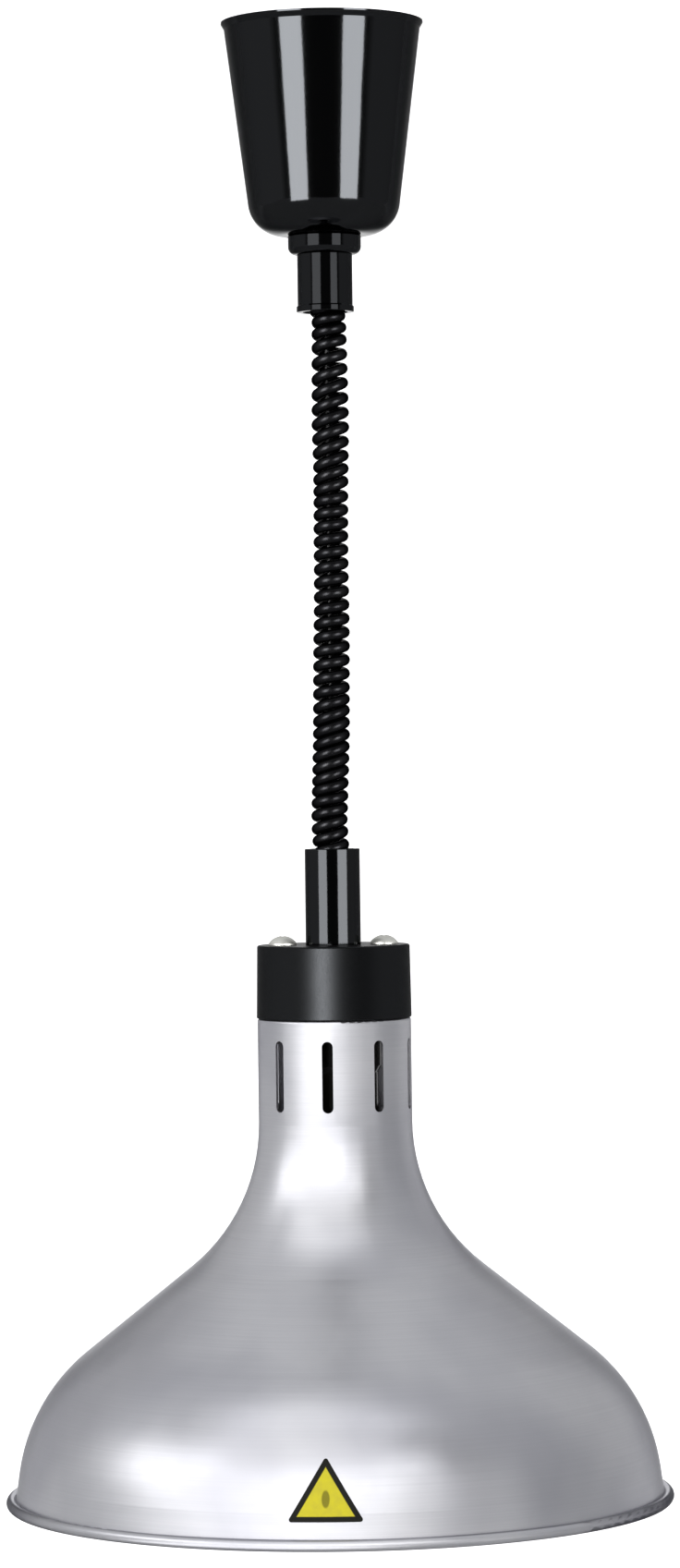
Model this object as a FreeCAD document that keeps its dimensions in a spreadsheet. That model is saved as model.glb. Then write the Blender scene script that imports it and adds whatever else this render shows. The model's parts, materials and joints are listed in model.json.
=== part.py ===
import FreeCAD, Part
import math
import os
import re
import Sketcher

# Rise-and-fall ceiling heat lamp.
# Millimetres.  +Z is up.  The origin is the centre of the ceiling plane: the
# rim of the canopy and the top of the ceiling bracket lie on z = 0 and the
# lamp hangs below it, fully wound up.  The front faces -Y.

SIZES = {
    # ceiling bracket
    "bracket_length": 74.0,
    "bracket_width": 22.0,
    "bracket_thickness": 2.0,
    "fixing_spacing": 56.0,
    "fixing_slot_radius": 2.7,
    "fixing_slot_length": 12.0,
    "supply_hole_radius": 4.5,
    "frame_screw_offset": 7.6,
    # canopy
    "canopy_height": 92.5,
    "canopy_lip_radius": 44.0,
    "canopy_top_radius": 42.7,
    "canopy_foot_radius": 31.4,
    "canopy_lip_height": 3.0,
    "canopy_wall": 2.0,
    "canopy_corner": 15.0,
    # reel frame
    "frame_sheet": 1.5,
    "frame_half_width": 12.1,
    "frame_left": 22.0,
    "frame_right": 12.0,
    "shelf_right": 33.0,
    "frame_bottom": 78.0,
    # reel
    "reel_x": 14.6,
    "reel_drop": 40.0,
    "drum_half_width": 8.95,
    "flange_radius": 18.2,
    "flange_sheet": 1.2,
    "groove_radius": 12.65,
    "drum_bore": 10.1,
    "drum_wall": 1.5,
    "cover_radius": 14.6,
    "cover_sheet": 1.0,
    "cover_screw_circle": 11.4,
    "axle_radius": 3.0,
    "axle_half_length": 14.4,
    "running_gap": 0.06,
    "spring_strip": 0.3,
    "spring_pitch": 0.85,
    "spring_turns": 7.45,
    "spring_inner": 3.45,
    # suspension wire
    "wire_radius": 0.6,
    "winding_radius": 13.3,
    "winding_pitch": 1.25,
    "winding_turns": 11.0,
    # stem, collar nut and upper sleeve
    "stem_radius": 8.0,
    "stem_bore": 6.45,
    "stem_top": 72.5,
    "stem_foot": 110.0,
    "thread_gap": 0.02,
    "locknut_flats": 20.0,
    "locknut_height": 4.0,
    "collar_radius": 15.9,
    "collar_foot": 101.0,
    "collar_round": 3.5,
    "sleeve_radius": 12.0,
    "sleeve_bore": 9.6,
    "sleeve_mouth": 125.9,
    "sleeve_lip_radius": 12.5,
    "sleeve_lip_height": 3.0,
    "guide_plate": 2.5,
    "nozzle_radius": 1.15,
    "nozzle_bore": 0.75,
    "nozzle_foot": 124.9,
    # cords
    "cord_radius": 2.5,
    "cord_side": 3.88,
    "cord_rise": 9.0,
    "coil_radius": 8.35,
    "coil_bore": 3.3,
    "conductor_radius": 0.9,
    "sheath_end": 24.0,
    "clamp_top": 52.0,
    "clamp_foot": 60.0,
    # terminal block
    "block_left": 14.0,
    "block_right": 30.0,
    "block_height": 12.0,
    "block_half_width": 11.6,
    "pole_pitch": 7.6,
    "pole_drop": 6.0,
    "barrel_radius": 2.3,
    "barrel_bore": 1.4,
    # lower sleeve, nipple and wire anchor
    "lower_sleeve_top": 358.9,
    "lower_sleeve_foot_radius": 12.05,
    "anchor_top": 387.0,
    "anchor_plate": 2.5,
    "ferrule_length": 8.0,
    "ferrule_radius": 1.2,
    "nipple_foot": 411.0,
    # cap
    "cap_top": 400.6,
    "cap_foot": 432.3,
    "cap_top_radius": 33.2,
    "cap_foot_radius": 33.7,
    "cap_wall": 2.0,
    "cap_screw_offset": 22.0,
    "dome_radius": 6.1,
    "dome_height": 4.0,
    "cap_screw_radius": 2.0,
    # shade
    "shade_sheet": 1.2,
    "shoulder_round": 1.3,
    "neck_top_radius": 33.4,
    "neck_radius": 33.4,
    "neck_foot": 477.5,
    "shade_flange_bore": 17.5,
    "flare_round": 80.0,
    "cone_angle": 51.5,
    "cone_length": 59.5,
    "bell_round": 79.0,
    "skirt_angle": 8.0,
    "skirt_length": 12.8,
    "bead_radius": 2.5,
    "bead_circle": 142.5,
    "bead_drop": 640.5,
    "slot_top": 441.2,
    "slot_foot": 471.9,
    "slot_radius": 2.35,
    "slot_count": 9.0,
    "slot_turn": -5.4,
    # lampholder
    "plate_radius": 27.5,
    "plate_sheet": 1.5,
    "earth_screw_offset": 23.5,
    "holder_radius": 20.5,
    "holder_mouth_radius": 19.0,
    "holder_foot": 484.0,
    "holder_floor_top": 447.0,
    "holder_floor": 452.0,
    "holder_bore": 14.4,
    "shell_outer": 14.2,
    "shell_inner": 13.6,
    "edison_pitch": 3.62,
    # bulb
    "bulb_contact_top": 453.2,
    "bulb_base_top": 458.7,
    "bulb_base_foot": 480.0,
    "bulb_base_radius": 12.6,
    "bulb_neck_radius": 16.5,
    "bulb_neck_foot": 518.0,
    "bulb_flare_round": 45.0,
    "bulb_cone_angle": 48.0,
    "bulb_cone_length": 30.0,
    "bulb_bell_round": 26.0,
    "bulb_shoulder_round": 38.0,
    "bulb_shoulder_angle": 65.0,
    "bulb_glass_wall": 1.0,
    # label
    "label_height": 26.1,
    "label_half_side": 15.9,
    "label_corner": 1.0,
    "label_foot": 631.3,
    "label_film": 0.15,
    "label_gap": 0.02,
    "label_turn": -2.4,
}

doc = FreeCAD.newDocument("heat_lamp")
sheet = doc.addObject("Spreadsheet::Sheet", "dims")
for row, (alias, amount) in enumerate(SIZES.items(), start=1):
    sheet.set(f"A{row}", alias)
    sheet.set(f"B{row}", str(amount))
    sheet.setAlias(f"B{row}", alias)
doc.recompute()

parts = []


# ---------------------------------------------------------------- helpers

def linked(text):
    """Turn the size names in an expression into references to the sheet."""
    def refer(match):
        word = match.group(0)
        return f"dims.{word}" if word in SIZES else word
    return re.sub(r"[a-z][a-z_]+", refer, str(text))


def number(text):
    """The value of an expression in the size names."""
    if not isinstance(text, str):
        return float(text)
    value = sheet.evalExpression(linked(text))
    return float(getattr(value, "Value", value))


def bind(thing, prop, text):
    """Set a property from an expression in the size names."""
    thing.setExpression(prop, linked(text))


def new_body(label):
    part = doc.addObject("PartDesign::Body", "Body")
    part.Label = label
    parts.append(part)
    return part


def place(part, x="0", y="0", z="0", axis=(0, 0, 1), angle=0.0):
    """Put a finished part in the frame of the whole object."""
    turn = FreeCAD.Rotation(FreeCAD.Vector(*axis), angle)
    spot = FreeCAD.Vector(number(x), number(y), number(z))
    part.Placement = FreeCAD.Placement(spot, turn)
    for letter, text in zip("xyz", (x, y, z)):
        bind(part, f"Placement.Base.{letter}", text)


def on_reel(part):
    """Lay a part that was drawn round Z along the reel's axis."""
    place(part, x="-reel_x", z="-reel_drop", axis=(1, 0, 0), angle=-90.0)


def new_sketch(part, plane, lift=None, turn=0.0):
    sketch = part.newObject("Sketcher::SketchObject", "Sketch")
    datum = [item for item in part.Origin.OriginFeatures if item.Role == plane][0]
    sketch.AttachmentSupport = [(datum, "")]
    sketch.MapMode = "FlatFace"
    tilt = FreeCAD.Rotation(FreeCAD.Vector(0, 1, 0), turn)
    sketch.AttachmentOffset = FreeCAD.Placement(FreeCAD.Vector(), tilt)
    if lift is not None:
        bind(sketch, "AttachmentOffset.Base.z", lift)
    return sketch


def pin_point(sketch, geometry, corner, x, y):
    """Hold one point of a sketch at two expressions."""
    for kind, text in (("DistanceX", x), ("DistanceY", y)):
        rule = Sketcher.Constraint(kind, -1, 1, geometry, corner, number(text))
        index = sketch.addConstraint(rule)
        if isinstance(text, str):
            bind(sketch, f"Constraints[{index}]", text)


def arc_between(start, end, radius, side):
    """The short arc from start to end; side is +1 with its centre on the left."""
    chord = end - start
    middle = (start + end) * 0.5
    rise = math.sqrt(max(radius ** 2 - (chord.Length / 2) ** 2, 0.0))
    left = FreeCAD.Vector(-chord.y, chord.x, 0).normalize()
    centre = middle + left * rise * side
    first, last = (start, end) if side > 0 else (end, start)
    angle_first = math.atan2(first.y - centre.y, first.x - centre.x)
    angle_last = math.atan2(last.y - centre.y, last.x - centre.x)
    circle = Part.Circle(centre, FreeCAD.Vector(0, 0, 1), radius)
    return Part.ArcOfCircle(circle, angle_first, angle_last)


def outline(sketch, corners):
    """A closed outline.

    Each corner is (x, y), or (x, y, radius, side) where the edge to the next
    corner is an arc."""
    spots = [FreeCAD.Vector(number(c[0]), number(c[1]), 0) for c in corners]
    count = len(corners)
    ends = []
    for step, corner in enumerate(corners):
        start, end = spots[step], spots[(step + 1) % count]
        if len(corner) == 2:
            edge = sketch.addGeometry(Part.LineSegment(start, end), False)
            ends.append((edge, 1, 2))
            continue
        arc = arc_between(start, end, number(corner[2]), corner[3])
        edge = sketch.addGeometry(arc, False)
        ends.append((edge, 1, 2) if corner[3] > 0 else (edge, 2, 1))
    for step in range(count):
        edge, _, last = ends[step]
        following, first, _ = ends[(step + 1) % count]
        sketch.addConstraint(Sketcher.Constraint("Coincident", edge, last, following, first))
    for step, corner in enumerate(corners):
        edge, first, _ = ends[step]
        pin_point(sketch, edge, first, corner[0], corner[1])
        if len(corner) == 4:
            rule = Sketcher.Constraint("Radius", edge, number(corner[2]))
            index = sketch.addConstraint(rule)
            if isinstance(corner[2], str):
                bind(sketch, f"Constraints[{index}]", corner[2])


def rectangle(sketch, left, low, right, high):
    outline(sketch, [(left, low), (right, low), (right, high), (left, high)])


def hexagon(sketch, flats, x="0"):
    """A hexagon with two flats across Y."""
    corners = []
    for step in range(6):
        angle = 60 * step
        across = f"({x}) + ({flats}) / 2 / cos(30 deg) * cos({angle} deg)"
        along = f"({flats}) / 2 / cos(30 deg) * sin({angle} deg)"
        corners.append((across, along))
    outline(sketch, corners)


def disc(sketch, x, y, radius):
    centre = FreeCAD.Vector(number(x), number(y), 0)
    circle = Part.Circle(centre, FreeCAD.Vector(0, 0, 1), number(radius))
    edge = sketch.addGeometry(circle, False)
    pin_point(sketch, edge, 3, x, y)
    index = sketch.addConstraint(Sketcher.Constraint("Radius", edge, number(radius)))
    if isinstance(radius, str):
        bind(sketch, f"Constraints[{index}]", radius)


def pad(part, sketch, length, reverse=False):
    feature = part.newObject("PartDesign::Pad", "Pad")
    feature.Profile = sketch
    feature.Reversed = reverse
    bind(feature, "Length", length)
    sketch.Visibility = False
    return feature


def pocket(part, sketch, length, reverse=False):
    feature = part.newObject("PartDesign::Pocket", "Pocket")
    feature.Profile = sketch
    feature.Reversed = reverse
    bind(feature, "Length", length)
    sketch.Visibility = False
    return feature


def pocket_both_ways(part, sketch):
    feature = part.newObject("PartDesign::Pocket", "Pocket")
    feature.Profile = sketch
    feature.Type = "ThroughAll"
    feature.Midplane = True
    sketch.Visibility = False
    return feature


def revolve(part, sketch):
    feature = part.newObject("PartDesign::Revolution", "Revolution")
    feature.Profile = sketch
    feature.ReferenceAxis = (sketch, ["V_Axis"])
    feature.Angle = 360.0
    sketch.Visibility = False
    return feature


def turned(label, corners):
    """A part turned round Z from one outline of (radius, height) corners."""
    part = new_body(label)
    profile = new_sketch(part, "XZ_Plane")
    outline(profile, corners)
    revolve(part, profile)
    return part


def tube(label, inner, outer, high, low):
    """A plain ring or tube round Z."""
    corners = [(inner, low), (outer, low), (outer, high), (inner, high)]
    return turned(label, corners)


def mirrored(part, feature, plane):
    """Repeat a feature on the other side of one of the part's own planes."""
    copy = part.newObject("PartDesign::Mirrored", "Mirrored")
    copy.Originals = [feature]
    datum = [item for item in part.Origin.OriginFeatures if item.Role == plane][0]
    copy.MirrorPlane = (datum, [""])
    part.Tip = copy
    return copy


def in_a_row(part, feature, axis, count, length):
    """Repeat a feature along one of the part's own axes."""
    copy = part.newObject("PartDesign::LinearPattern", "LinearPattern")
    copy.Originals = [feature]
    datum = [item for item in part.Origin.OriginFeatures if item.Role == axis][0]
    copy.Direction = (datum, [""])
    copy.Occurrences = count
    bind(copy, "Length", length)
    part.Tip = copy
    return copy


def in_a_ring(part, feature, count):
    """Repeat a feature round the part's own Z axis."""
    copy = part.newObject("PartDesign::PolarPattern", "PolarPattern")
    copy.Originals = [feature]
    datum = [item for item in part.Origin.OriginFeatures if item.Role == "Z_Axis"][0]
    copy.Axis = (datum, [""])
    copy.Angle = 360.0
    copy.Occurrences = count
    part.Tip = copy
    return copy


def edges_where(part, test):
    names = []
    for index, edge in enumerate(part.Shape.Edges, start=1):
        if test(edge):
            names.append(f"Edge{index}")
    return names


def ring_edge(radius, height):
    """A test for a circular edge of one radius at one height."""
    def test(edge):
        curve = edge.Curve
        if not isinstance(curve, Part.Circle):
            return False
        same_size = abs(curve.Radius - number(radius)) < 0.02
        return same_size and abs(curve.Center.z - number(height)) < 0.02
    return test


def round_off(part, radius, *tests):
    """Round the edges that pass any of the tests."""
    doc.recompute()
    names = edges_where(part, lambda edge: any(test(edge) for test in tests))
    if not names:
        raise RuntimeError(f"{part.Label}: no edge to round")
    base = part.Tip
    feature = part.newObject("PartDesign::Fillet", "Fillet")
    feature.Base = (base, names)
    bind(feature, "Radius", radius)
    part.Tip = feature
    return feature


def free_shape(label, shape):
    """A sub-part with a swept or boolean shape of its own."""
    part = doc.addObject("Part::Feature", "Shape")
    part.Label = label
    part.Shape = shape
    part.Placement = FreeCAD.Placement()
    parts.append(part)
    return part


def swept_wire(points, radius, bend="cord_radius * 2.5"):
    """A round wire along straight runs joined by bends of one radius."""
    spots = [FreeCAD.Vector(*[number(value) for value in point]) for point in points]
    edges = []
    start = spots[0]
    for before, corner, after in zip(spots, spots[1:], spots[2:]):
        back = (before - corner).normalize()
        ahead = (after - corner).normalize()
        half = back.getAngle(ahead) / 2
        if half > math.pi / 2 - 0.01:
            continue
        room = min((before - corner).Length, (after - corner).Length) * 0.49
        cut = min(number(bend) / math.tan(half), room)
        middle = (back + ahead).normalize()
        centre = corner + middle * (cut / math.cos(half))
        inward = (corner - centre).normalize() * (cut * math.tan(half))
        first, last = corner + back * cut, corner + ahead * cut
        edges.append(Part.makeLine(start, first))
        edges.append(Part.Arc(first, centre + inward, last).toShape())
        start = last
    edges.append(Part.makeLine(start, spots[-1]))
    ring = Part.Wire(Part.makeCircle(number(radius), spots[0], spots[1] - spots[0]))
    return Part.Wire(edges).makePipeShell([ring], True, True)


# ------------------------------------------------- ceiling side, fixed

def slot_outline(sketch, x, middle, length, radius):
    """A slot along Y with round ends."""
    reach = f"(({length}) / 2 - {radius})"
    outline(sketch, [
        (f"{x} - {radius}", f"{middle} + {reach}"),
        (f"{x} - {radius}", f"{middle} - {reach}", radius, 1),
        (f"{x}", f"{middle} - {reach} - {radius}", radius, 1),
        (f"{x} + {radius}", f"{middle} - {reach}"),
        (f"{x} + {radius}", f"{middle} + {reach}", radius, 1),
        (f"{x}", f"{middle} + {reach} + {radius}", radius, 1),
    ])


def ceiling_bracket():
    """A steel strip with two slotted holes for the ceiling screws."""
    part = new_body("ceiling_bracket")
    plate = new_sketch(part, "XY_Plane")
    rectangle(plate, "-bracket_width / 2", "-bracket_length / 2",
              "bracket_width / 2", "bracket_length / 2")
    for side in ("-", ""):
        slot_outline(plate, "0", f"{side}fixing_spacing / 2",
                     "fixing_slot_length", "fixing_slot_radius")
        disc(plate, f"{side}frame_screw_offset", "0", 1.55)
    disc(plate, "0", "0", "supply_hole_radius")
    pad(part, plate, "bracket_thickness", reverse=True)
    corner = number("bracket_length / 2")

    def upright_corner(edge):
        box = edge.BoundBox
        return box.ZLength > 1 and abs(abs(box.Center.y) - corner) < 0.1
    round_off(part, "frame_sheet * 2", upright_corner)
    place(part)


def reel_frame():
    """A closed loop of sheet steel that carries the reel, with a shelf for the terminals."""
    part = new_body("reel_frame")
    loop = new_sketch(part, "YZ_Plane", lift="-frame_left")
    rectangle(loop, "-frame_half_width", "-frame_bottom",
              "frame_half_width", "-bracket_thickness")
    rectangle(loop, "-frame_half_width + frame_sheet", "-frame_bottom + frame_sheet",
              "frame_half_width - frame_sheet", "-bracket_thickness - frame_sheet")
    pad(part, loop, "frame_left + frame_right")
    shelf = new_sketch(part, "YZ_Plane", lift="frame_right - 1")
    rectangle(shelf, "-frame_half_width", "-bracket_thickness - frame_sheet",
              "frame_half_width", "-bracket_thickness")
    pad(part, shelf, "shelf_right - frame_right + 1")
    top = new_sketch(part, "XY_Plane")
    disc(top, "0", "0", "supply_hole_radius")
    disc(top, "-frame_screw_offset", "0", 1.55)
    disc(top, "frame_screw_offset", "0", 1.55)
    disc(top, "-frame_left + 6", "0", 1.65)
    for side in ("-", ""):
        disc(top, "(block_left + block_right) / 2", f"{side}pole_pitch / 2", 1.1)
    pocket(part, top, "bracket_thickness + frame_sheet + 1")
    foot = new_sketch(part, "XY_Plane", lift="-frame_bottom + frame_sheet + 1")
    disc(foot, "0", "0", "stem_radius + thread_gap")
    pocket(part, foot, "frame_sheet + 2")
    cheeks = new_sketch(part, "XZ_Plane")
    disc(cheeks, "-reel_x", "-reel_drop", "axle_radius + 0.02")
    disc(cheeks, "cord_rise", "-(clamp_top + clamp_foot) / 2", 1.6)
    pocket_both_ways(part, cheeks)
    lowest = number("-frame_bottom")

    def bottom_fold(edge):
        box = edge.BoundBox
        return box.XLength > 20 and abs(box.ZMax - lowest) < 0.01
    round_off(part, "frame_sheet", bottom_fold)
    place(part)


def pan_screw(label, head_radius, head_height, shank_radius, shank_length):
    """A pan-head screw with its shank up +Z, its head below z = 0, and a cross recess."""
    part = new_body(label)
    profile = new_sketch(part, "XZ_Plane")
    edge = head_height * 0.45
    outline(profile, [
        (0.0, shank_length), (0.0, -head_height), (head_radius - edge, -head_height, edge, 1),
        (head_radius, -head_height + edge), (head_radius, 0.0),
        (shank_radius, 0.0), (shank_radius, shank_length),
    ])
    revolve(part, profile)
    cross = new_sketch(part, "XY_Plane")
    cross.AttachmentOffset = FreeCAD.Placement(FreeCAD.Vector(0, 0, -head_height), FreeCAD.Rotation())
    arm = head_radius * 0.6
    half = head_radius * 0.13
    outline(cross, [
        (-half, -arm), (half, -arm), (half, -half), (arm, -half), (arm, half), (half, half),
        (half, arm), (-half, arm), (-half, half), (-arm, half), (-arm, -half), (-half, -half),
    ])
    pocket(part, cross, str(head_height * 0.5), reverse=True)
    return part


def screw_group(label, sizes, spots, axis=(0, 0, 1), angles=None):
    """Identical screws in one sub-part, each a solid of its own."""
    pattern = pan_screw(f"{label}_pattern", *sizes)
    parts.remove(pattern)
    doc.recompute()
    solids = []
    for step, spot in enumerate(spots):
        angle = angles[step] if angles else 0.0
        turn = FreeCAD.Rotation(FreeCAD.Vector(*axis), angle)
        where = FreeCAD.Vector(*[number(value) for value in spot])
        solid = pattern.Shape.Solids[0].copy()
        solid.Placement = FreeCAD.Placement(where, turn)
        solids.append(solid)
    return free_shape(label, Part.makeCompound(solids))


def frame_screws():
    under = "-bracket_thickness - frame_sheet"
    screw_group("frame_screws", (2.8, 2.0, 1.5, 3.2),
                [("-frame_screw_offset", "0", under), ("frame_screw_offset", "0", under)])


def earth_screw():
    under = "-bracket_thickness - frame_sheet"
    screw_group("earth_screw", (3.2, 2.2, 1.6, 3.2), [("-frame_left + 6", "0", under)])


def reel_axle():
    """A plain pin across the frame with a groove near each end for its clip."""
    groove = "axle_radius - 0.5"
    near, far = "frame_half_width + 0.05", "frame_half_width + 0.85"
    part = turned("reel_axle", [
        (0.0, "-axle_half_length"), ("axle_radius - 0.4", "-axle_half_length"),
        ("axle_radius", "-axle_half_length + 0.4"),
        ("axle_radius", f"-({far})"), (groove, f"-({far})"),
        (groove, f"-({near})"), ("axle_radius", f"-({near})"),
        ("axle_radius", near), (groove, near), (groove, far), ("axle_radius", far),
        ("axle_radius", "axle_half_length - 0.4"),
        ("axle_radius - 0.4", "axle_half_length"), (0.0, "axle_half_length"),
    ])
    on_reel(part)


def axle_clips():
    """Two spring clips that hold the axle endways."""
    part = new_body("axle_clips")
    ring = new_sketch(part, "XY_Plane", lift="frame_half_width + 0.1")
    outline(ring, [
        ("axle_radius * 1.9 * cos(30 deg)", "-axle_radius * 1.9 * sin(30 deg)", "axle_radius * 1.9", 1),
        (0.0, "axle_radius * 1.9", "axle_radius * 1.9", 1),
        ("-axle_radius * 1.9 * cos(30 deg)", "-axle_radius * 1.9 * sin(30 deg)"),
        ("-(axle_radius - 0.45) * cos(30 deg)", "-(axle_radius - 0.45) * sin(30 deg)",
         "axle_radius - 0.45", -1),
        (0.0, "axle_radius - 0.45", "axle_radius - 0.45", -1),
        ("(axle_radius - 0.45) * cos(30 deg)", "-(axle_radius - 0.45) * sin(30 deg)"),
    ])
    clip = pad(part, ring, "0.7")
    mirrored(part, clip, "XY_Plane")
    on_reel(part)


def axle_washers():
    """Two thrust washers between the drum and the cheeks."""
    part = new_body("axle_washers")
    ring = new_sketch(part, "XY_Plane", lift="drum_half_width + 0.1")
    disc(ring, "0", "0", "axle_radius * 1.8")
    disc(ring, "0", "0", "axle_radius + 0.05")
    washer = pad(part, ring, "frame_half_width - frame_sheet - drum_half_width - 0.2")
    mirrored(part, washer, "XY_Plane")
    on_reel(part)


def threaded_stem():
    """The hollow threaded tube that holds the canopy and the sleeve to the frame."""
    part = tube("threaded_stem", "stem_bore", "stem_radius", "-stem_top", "-stem_foot")
    round_ends = [ring_edge("stem_radius", "-stem_top"), ring_edge("stem_radius", "-stem_foot")]
    doc.recompute()
    names = edges_where(part, lambda edge: any(test(edge) for test in round_ends))
    base = part.Tip
    bevel = part.newObject("PartDesign::Chamfer", "Chamfer")
    bevel.Base = (base, names)
    bevel.Size = 0.5
    part.Tip = bevel
    place(part)


def stem_locknuts():
    """Two thin hexagon nuts that clamp the stem to the floor of the frame."""
    part = new_body("stem_locknuts")
    nut = new_sketch(part, "XY_Plane")
    hexagon(nut, "locknut_flats")
    disc(nut, "0", "0", "stem_radius + thread_gap")
    first = pad(part, nut, "locknut_height")
    in_a_row(part, first, "Z_Axis", 2, "locknut_height + frame_sheet")
    place(part, z="-frame_bottom - locknut_height")


def canopy():
    """The tapered cup that covers the reel, open against the ceiling."""
    slope = "(canopy_top_radius - canopy_foot_radius) / (canopy_height - canopy_lip_height)"
    inner_foot = f"canopy_foot_radius - canopy_wall * 1.01 + canopy_wall * {slope}"
    part = turned("canopy", [
        ("canopy_lip_radius - canopy_wall", 0.0),
        ("canopy_lip_radius", 0.0),
        ("canopy_lip_radius", "-canopy_lip_height / 4"),
        ("canopy_top_radius", "-canopy_lip_height"),
        ("canopy_foot_radius", "-canopy_height"),
        ("stem_radius + 0.2", "-canopy_height"),
        ("stem_radius + 0.2", "-canopy_height + canopy_wall"),
        (inner_foot, "-canopy_height + canopy_wall"),
        ("canopy_top_radius - canopy_wall * 1.01", "-canopy_lip_height"),
    ])
    round_off(part, "canopy_corner", ring_edge("canopy_foot_radius", "-canopy_height"))
    round_off(part, "canopy_corner - canopy_wall",
              ring_edge(inner_foot, "-canopy_height + canopy_wall"))
    place(part)


def collar_nut():
    """The round nut under the canopy."""
    part = tube("collar_nut", "stem_radius + thread_gap", "collar_radius",
                "-canopy_height", "-collar_foot")
    round_off(part, "collar_round", ring_edge("collar_radius", "-collar_foot"))
    round_off(part, "collar_round / 5", ring_edge("collar_radius", "-canopy_height"))
    place(part)


def upper_sleeve():
    """The sleeve the coiled cord comes out of, with a thin lip at its mouth."""
    part = turned("upper_sleeve", [
        ("stem_radius + thread_gap", "-collar_foot"),
        ("sleeve_radius", "-collar_foot"),
        ("sleeve_radius", "-sleeve_mouth + sleeve_lip_height"),
        ("sleeve_lip_radius", "-sleeve_mouth + sleeve_lip_height * 0.8"),
        ("sleeve_lip_radius", "-sleeve_mouth"),
        ("sleeve_bore", "-sleeve_mouth"),
        ("sleeve_bore", "-stem_foot"),
        ("stem_radius + thread_gap", "-stem_foot"),
    ])
    round_off(part, "0.4", ring_edge("sleeve_lip_radius", "-sleeve_mouth"),
              ring_edge("sleeve_bore", "-sleeve_mouth"))
    place(part)


def wire_guide():
    """A plate in the sleeve with a nozzle that centres the suspension wire."""
    part = turned("wire_guide", [
        ("nozzle_bore", "-stem_foot"),
        ("sleeve_bore - 0.03", "-stem_foot"),
        ("sleeve_bore - 0.03", "-stem_foot - guide_plate"),
        ("nozzle_radius", "-stem_foot - guide_plate"),
        ("nozzle_radius", "-nozzle_foot"),
        ("nozzle_bore", "-nozzle_foot"),
    ])
    hole = new_sketch(part, "XY_Plane", lift="-stem_foot + 0.5")
    disc(hole, "cord_side", "0", "cord_radius + 0.03")
    pocket(part, hole, "guide_plate + 1")
    place(part)


def cord_clamp():
    """A block between the cheeks that grips the cord."""
    part = new_body("cord_clamp")
    block = new_sketch(part, "XY_Plane", lift="-clamp_foot")
    rectangle(block, "cord_rise - 3.5", "-frame_half_width + frame_sheet + 0.05",
              "cord_rise + 3.5", "frame_half_width - frame_sheet - 0.05")
    disc(block, "cord_rise", "0", "cord_radius + 0.03")
    pad(part, block, "clamp_foot - clamp_top")
    holes = new_sketch(part, "XZ_Plane")
    disc(holes, "cord_rise", "-(clamp_top + clamp_foot) / 2", 1.25)
    pocket_both_ways(part, holes)
    place(part)


def clamp_screws():
    middle = "-(clamp_top + clamp_foot) / 2"
    screw_group("clamp_screws", (2.6, 1.9, 1.2, 7.0),
                [("cord_rise", "frame_half_width", middle),
                 ("cord_rise", "-frame_half_width", middle)],
                axis=(1, 0, 0), angles=[90.0, -90.0])


def pole_rows():
    return ["-pole_pitch", "0", "pole_pitch"]


def terminal_block():
    """A three-pole block with a wire hole and two screw wells for each pole."""
    part = new_body("terminal_block")
    base = new_sketch(part, "XY_Plane")
    rectangle(base, "block_left", "-block_half_width", "block_right", "block_half_width")
    pad(part, base, "block_height", reverse=True)
    wires = new_sketch(part, "YZ_Plane", lift="block_left - 1")
    for row in pole_rows():
        disc(wires, row, "-pole_drop", "barrel_radius + 0.03")
    pocket(part, wires, "block_right - block_left + 2", reverse=True)
    wells = new_sketch(part, "XY_Plane", lift="-block_height - 1")
    for row in pole_rows():
        disc(wells, "block_left + 4", row, 1.7)
        disc(wells, "block_right - 4", row, 1.7)
    pocket(part, wells, "block_height - pole_drop + 1", reverse=True)
    fixings = new_sketch(part, "XY_Plane", lift="1")
    for side in ("-", ""):
        disc(fixings, "(block_left + block_right) / 2", f"{side}pole_pitch / 2", 1.15)
    pocket(part, fixings, "block_height + 2")
    place(part, z="-bracket_thickness - frame_sheet")


def terminal_barrels():
    """Three metal tubes that join the wires."""
    part = new_body("terminal_barrels")
    rings = new_sketch(part, "YZ_Plane", lift="block_left + 0.8")
    for row in pole_rows():
        disc(rings, row, "-pole_drop", "barrel_radius")
        disc(rings, row, "-pole_drop", "barrel_bore")
    pad(part, rings, "block_right - block_left - 1.6")
    threads = new_sketch(part, "XY_Plane", lift="-pole_drop")
    for row in pole_rows():
        disc(threads, "block_left + 4", row, 1.02)
        disc(threads, "block_right - 4", row, 1.02)
    pocket(part, threads, "barrel_radius + 1")
    place(part, z="-bracket_thickness - frame_sheet")


def terminal_screws():
    spots = []
    under = "-bracket_thickness - frame_sheet - pole_drop - barrel_radius - 0.1"
    for row in pole_rows():
        spots.append(("block_left + 4", row, under))
        spots.append(("block_right - 4", row, under))
    screw_group("terminal_screws", (1.6, 1.6, 1.0, 1.2), spots)


def block_screws():
    under = "-bracket_thickness - frame_sheet - block_height"
    middle = "(block_left + block_right) / 2"
    screw_group("block_screws", (1.7, 1.3, 1.05, 14.0),
                [(middle, "-pole_pitch / 2", under), (middle, "pole_pitch / 2", under)])


def cord_upper_tail():
    """The straight end of the cord, through the stem and the clamp."""
    free_shape("cord_upper_tail", swept_wire([
        ("cord_side", "0", "-stem_foot - guide_plate"),
        ("cord_side", "0", "-stem_top + 1.5"),
        ("cord_rise", "0", "-clamp_foot - 2"),
        ("cord_rise", "0", "-sheath_end"),
    ], "cord_radius"))


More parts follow.
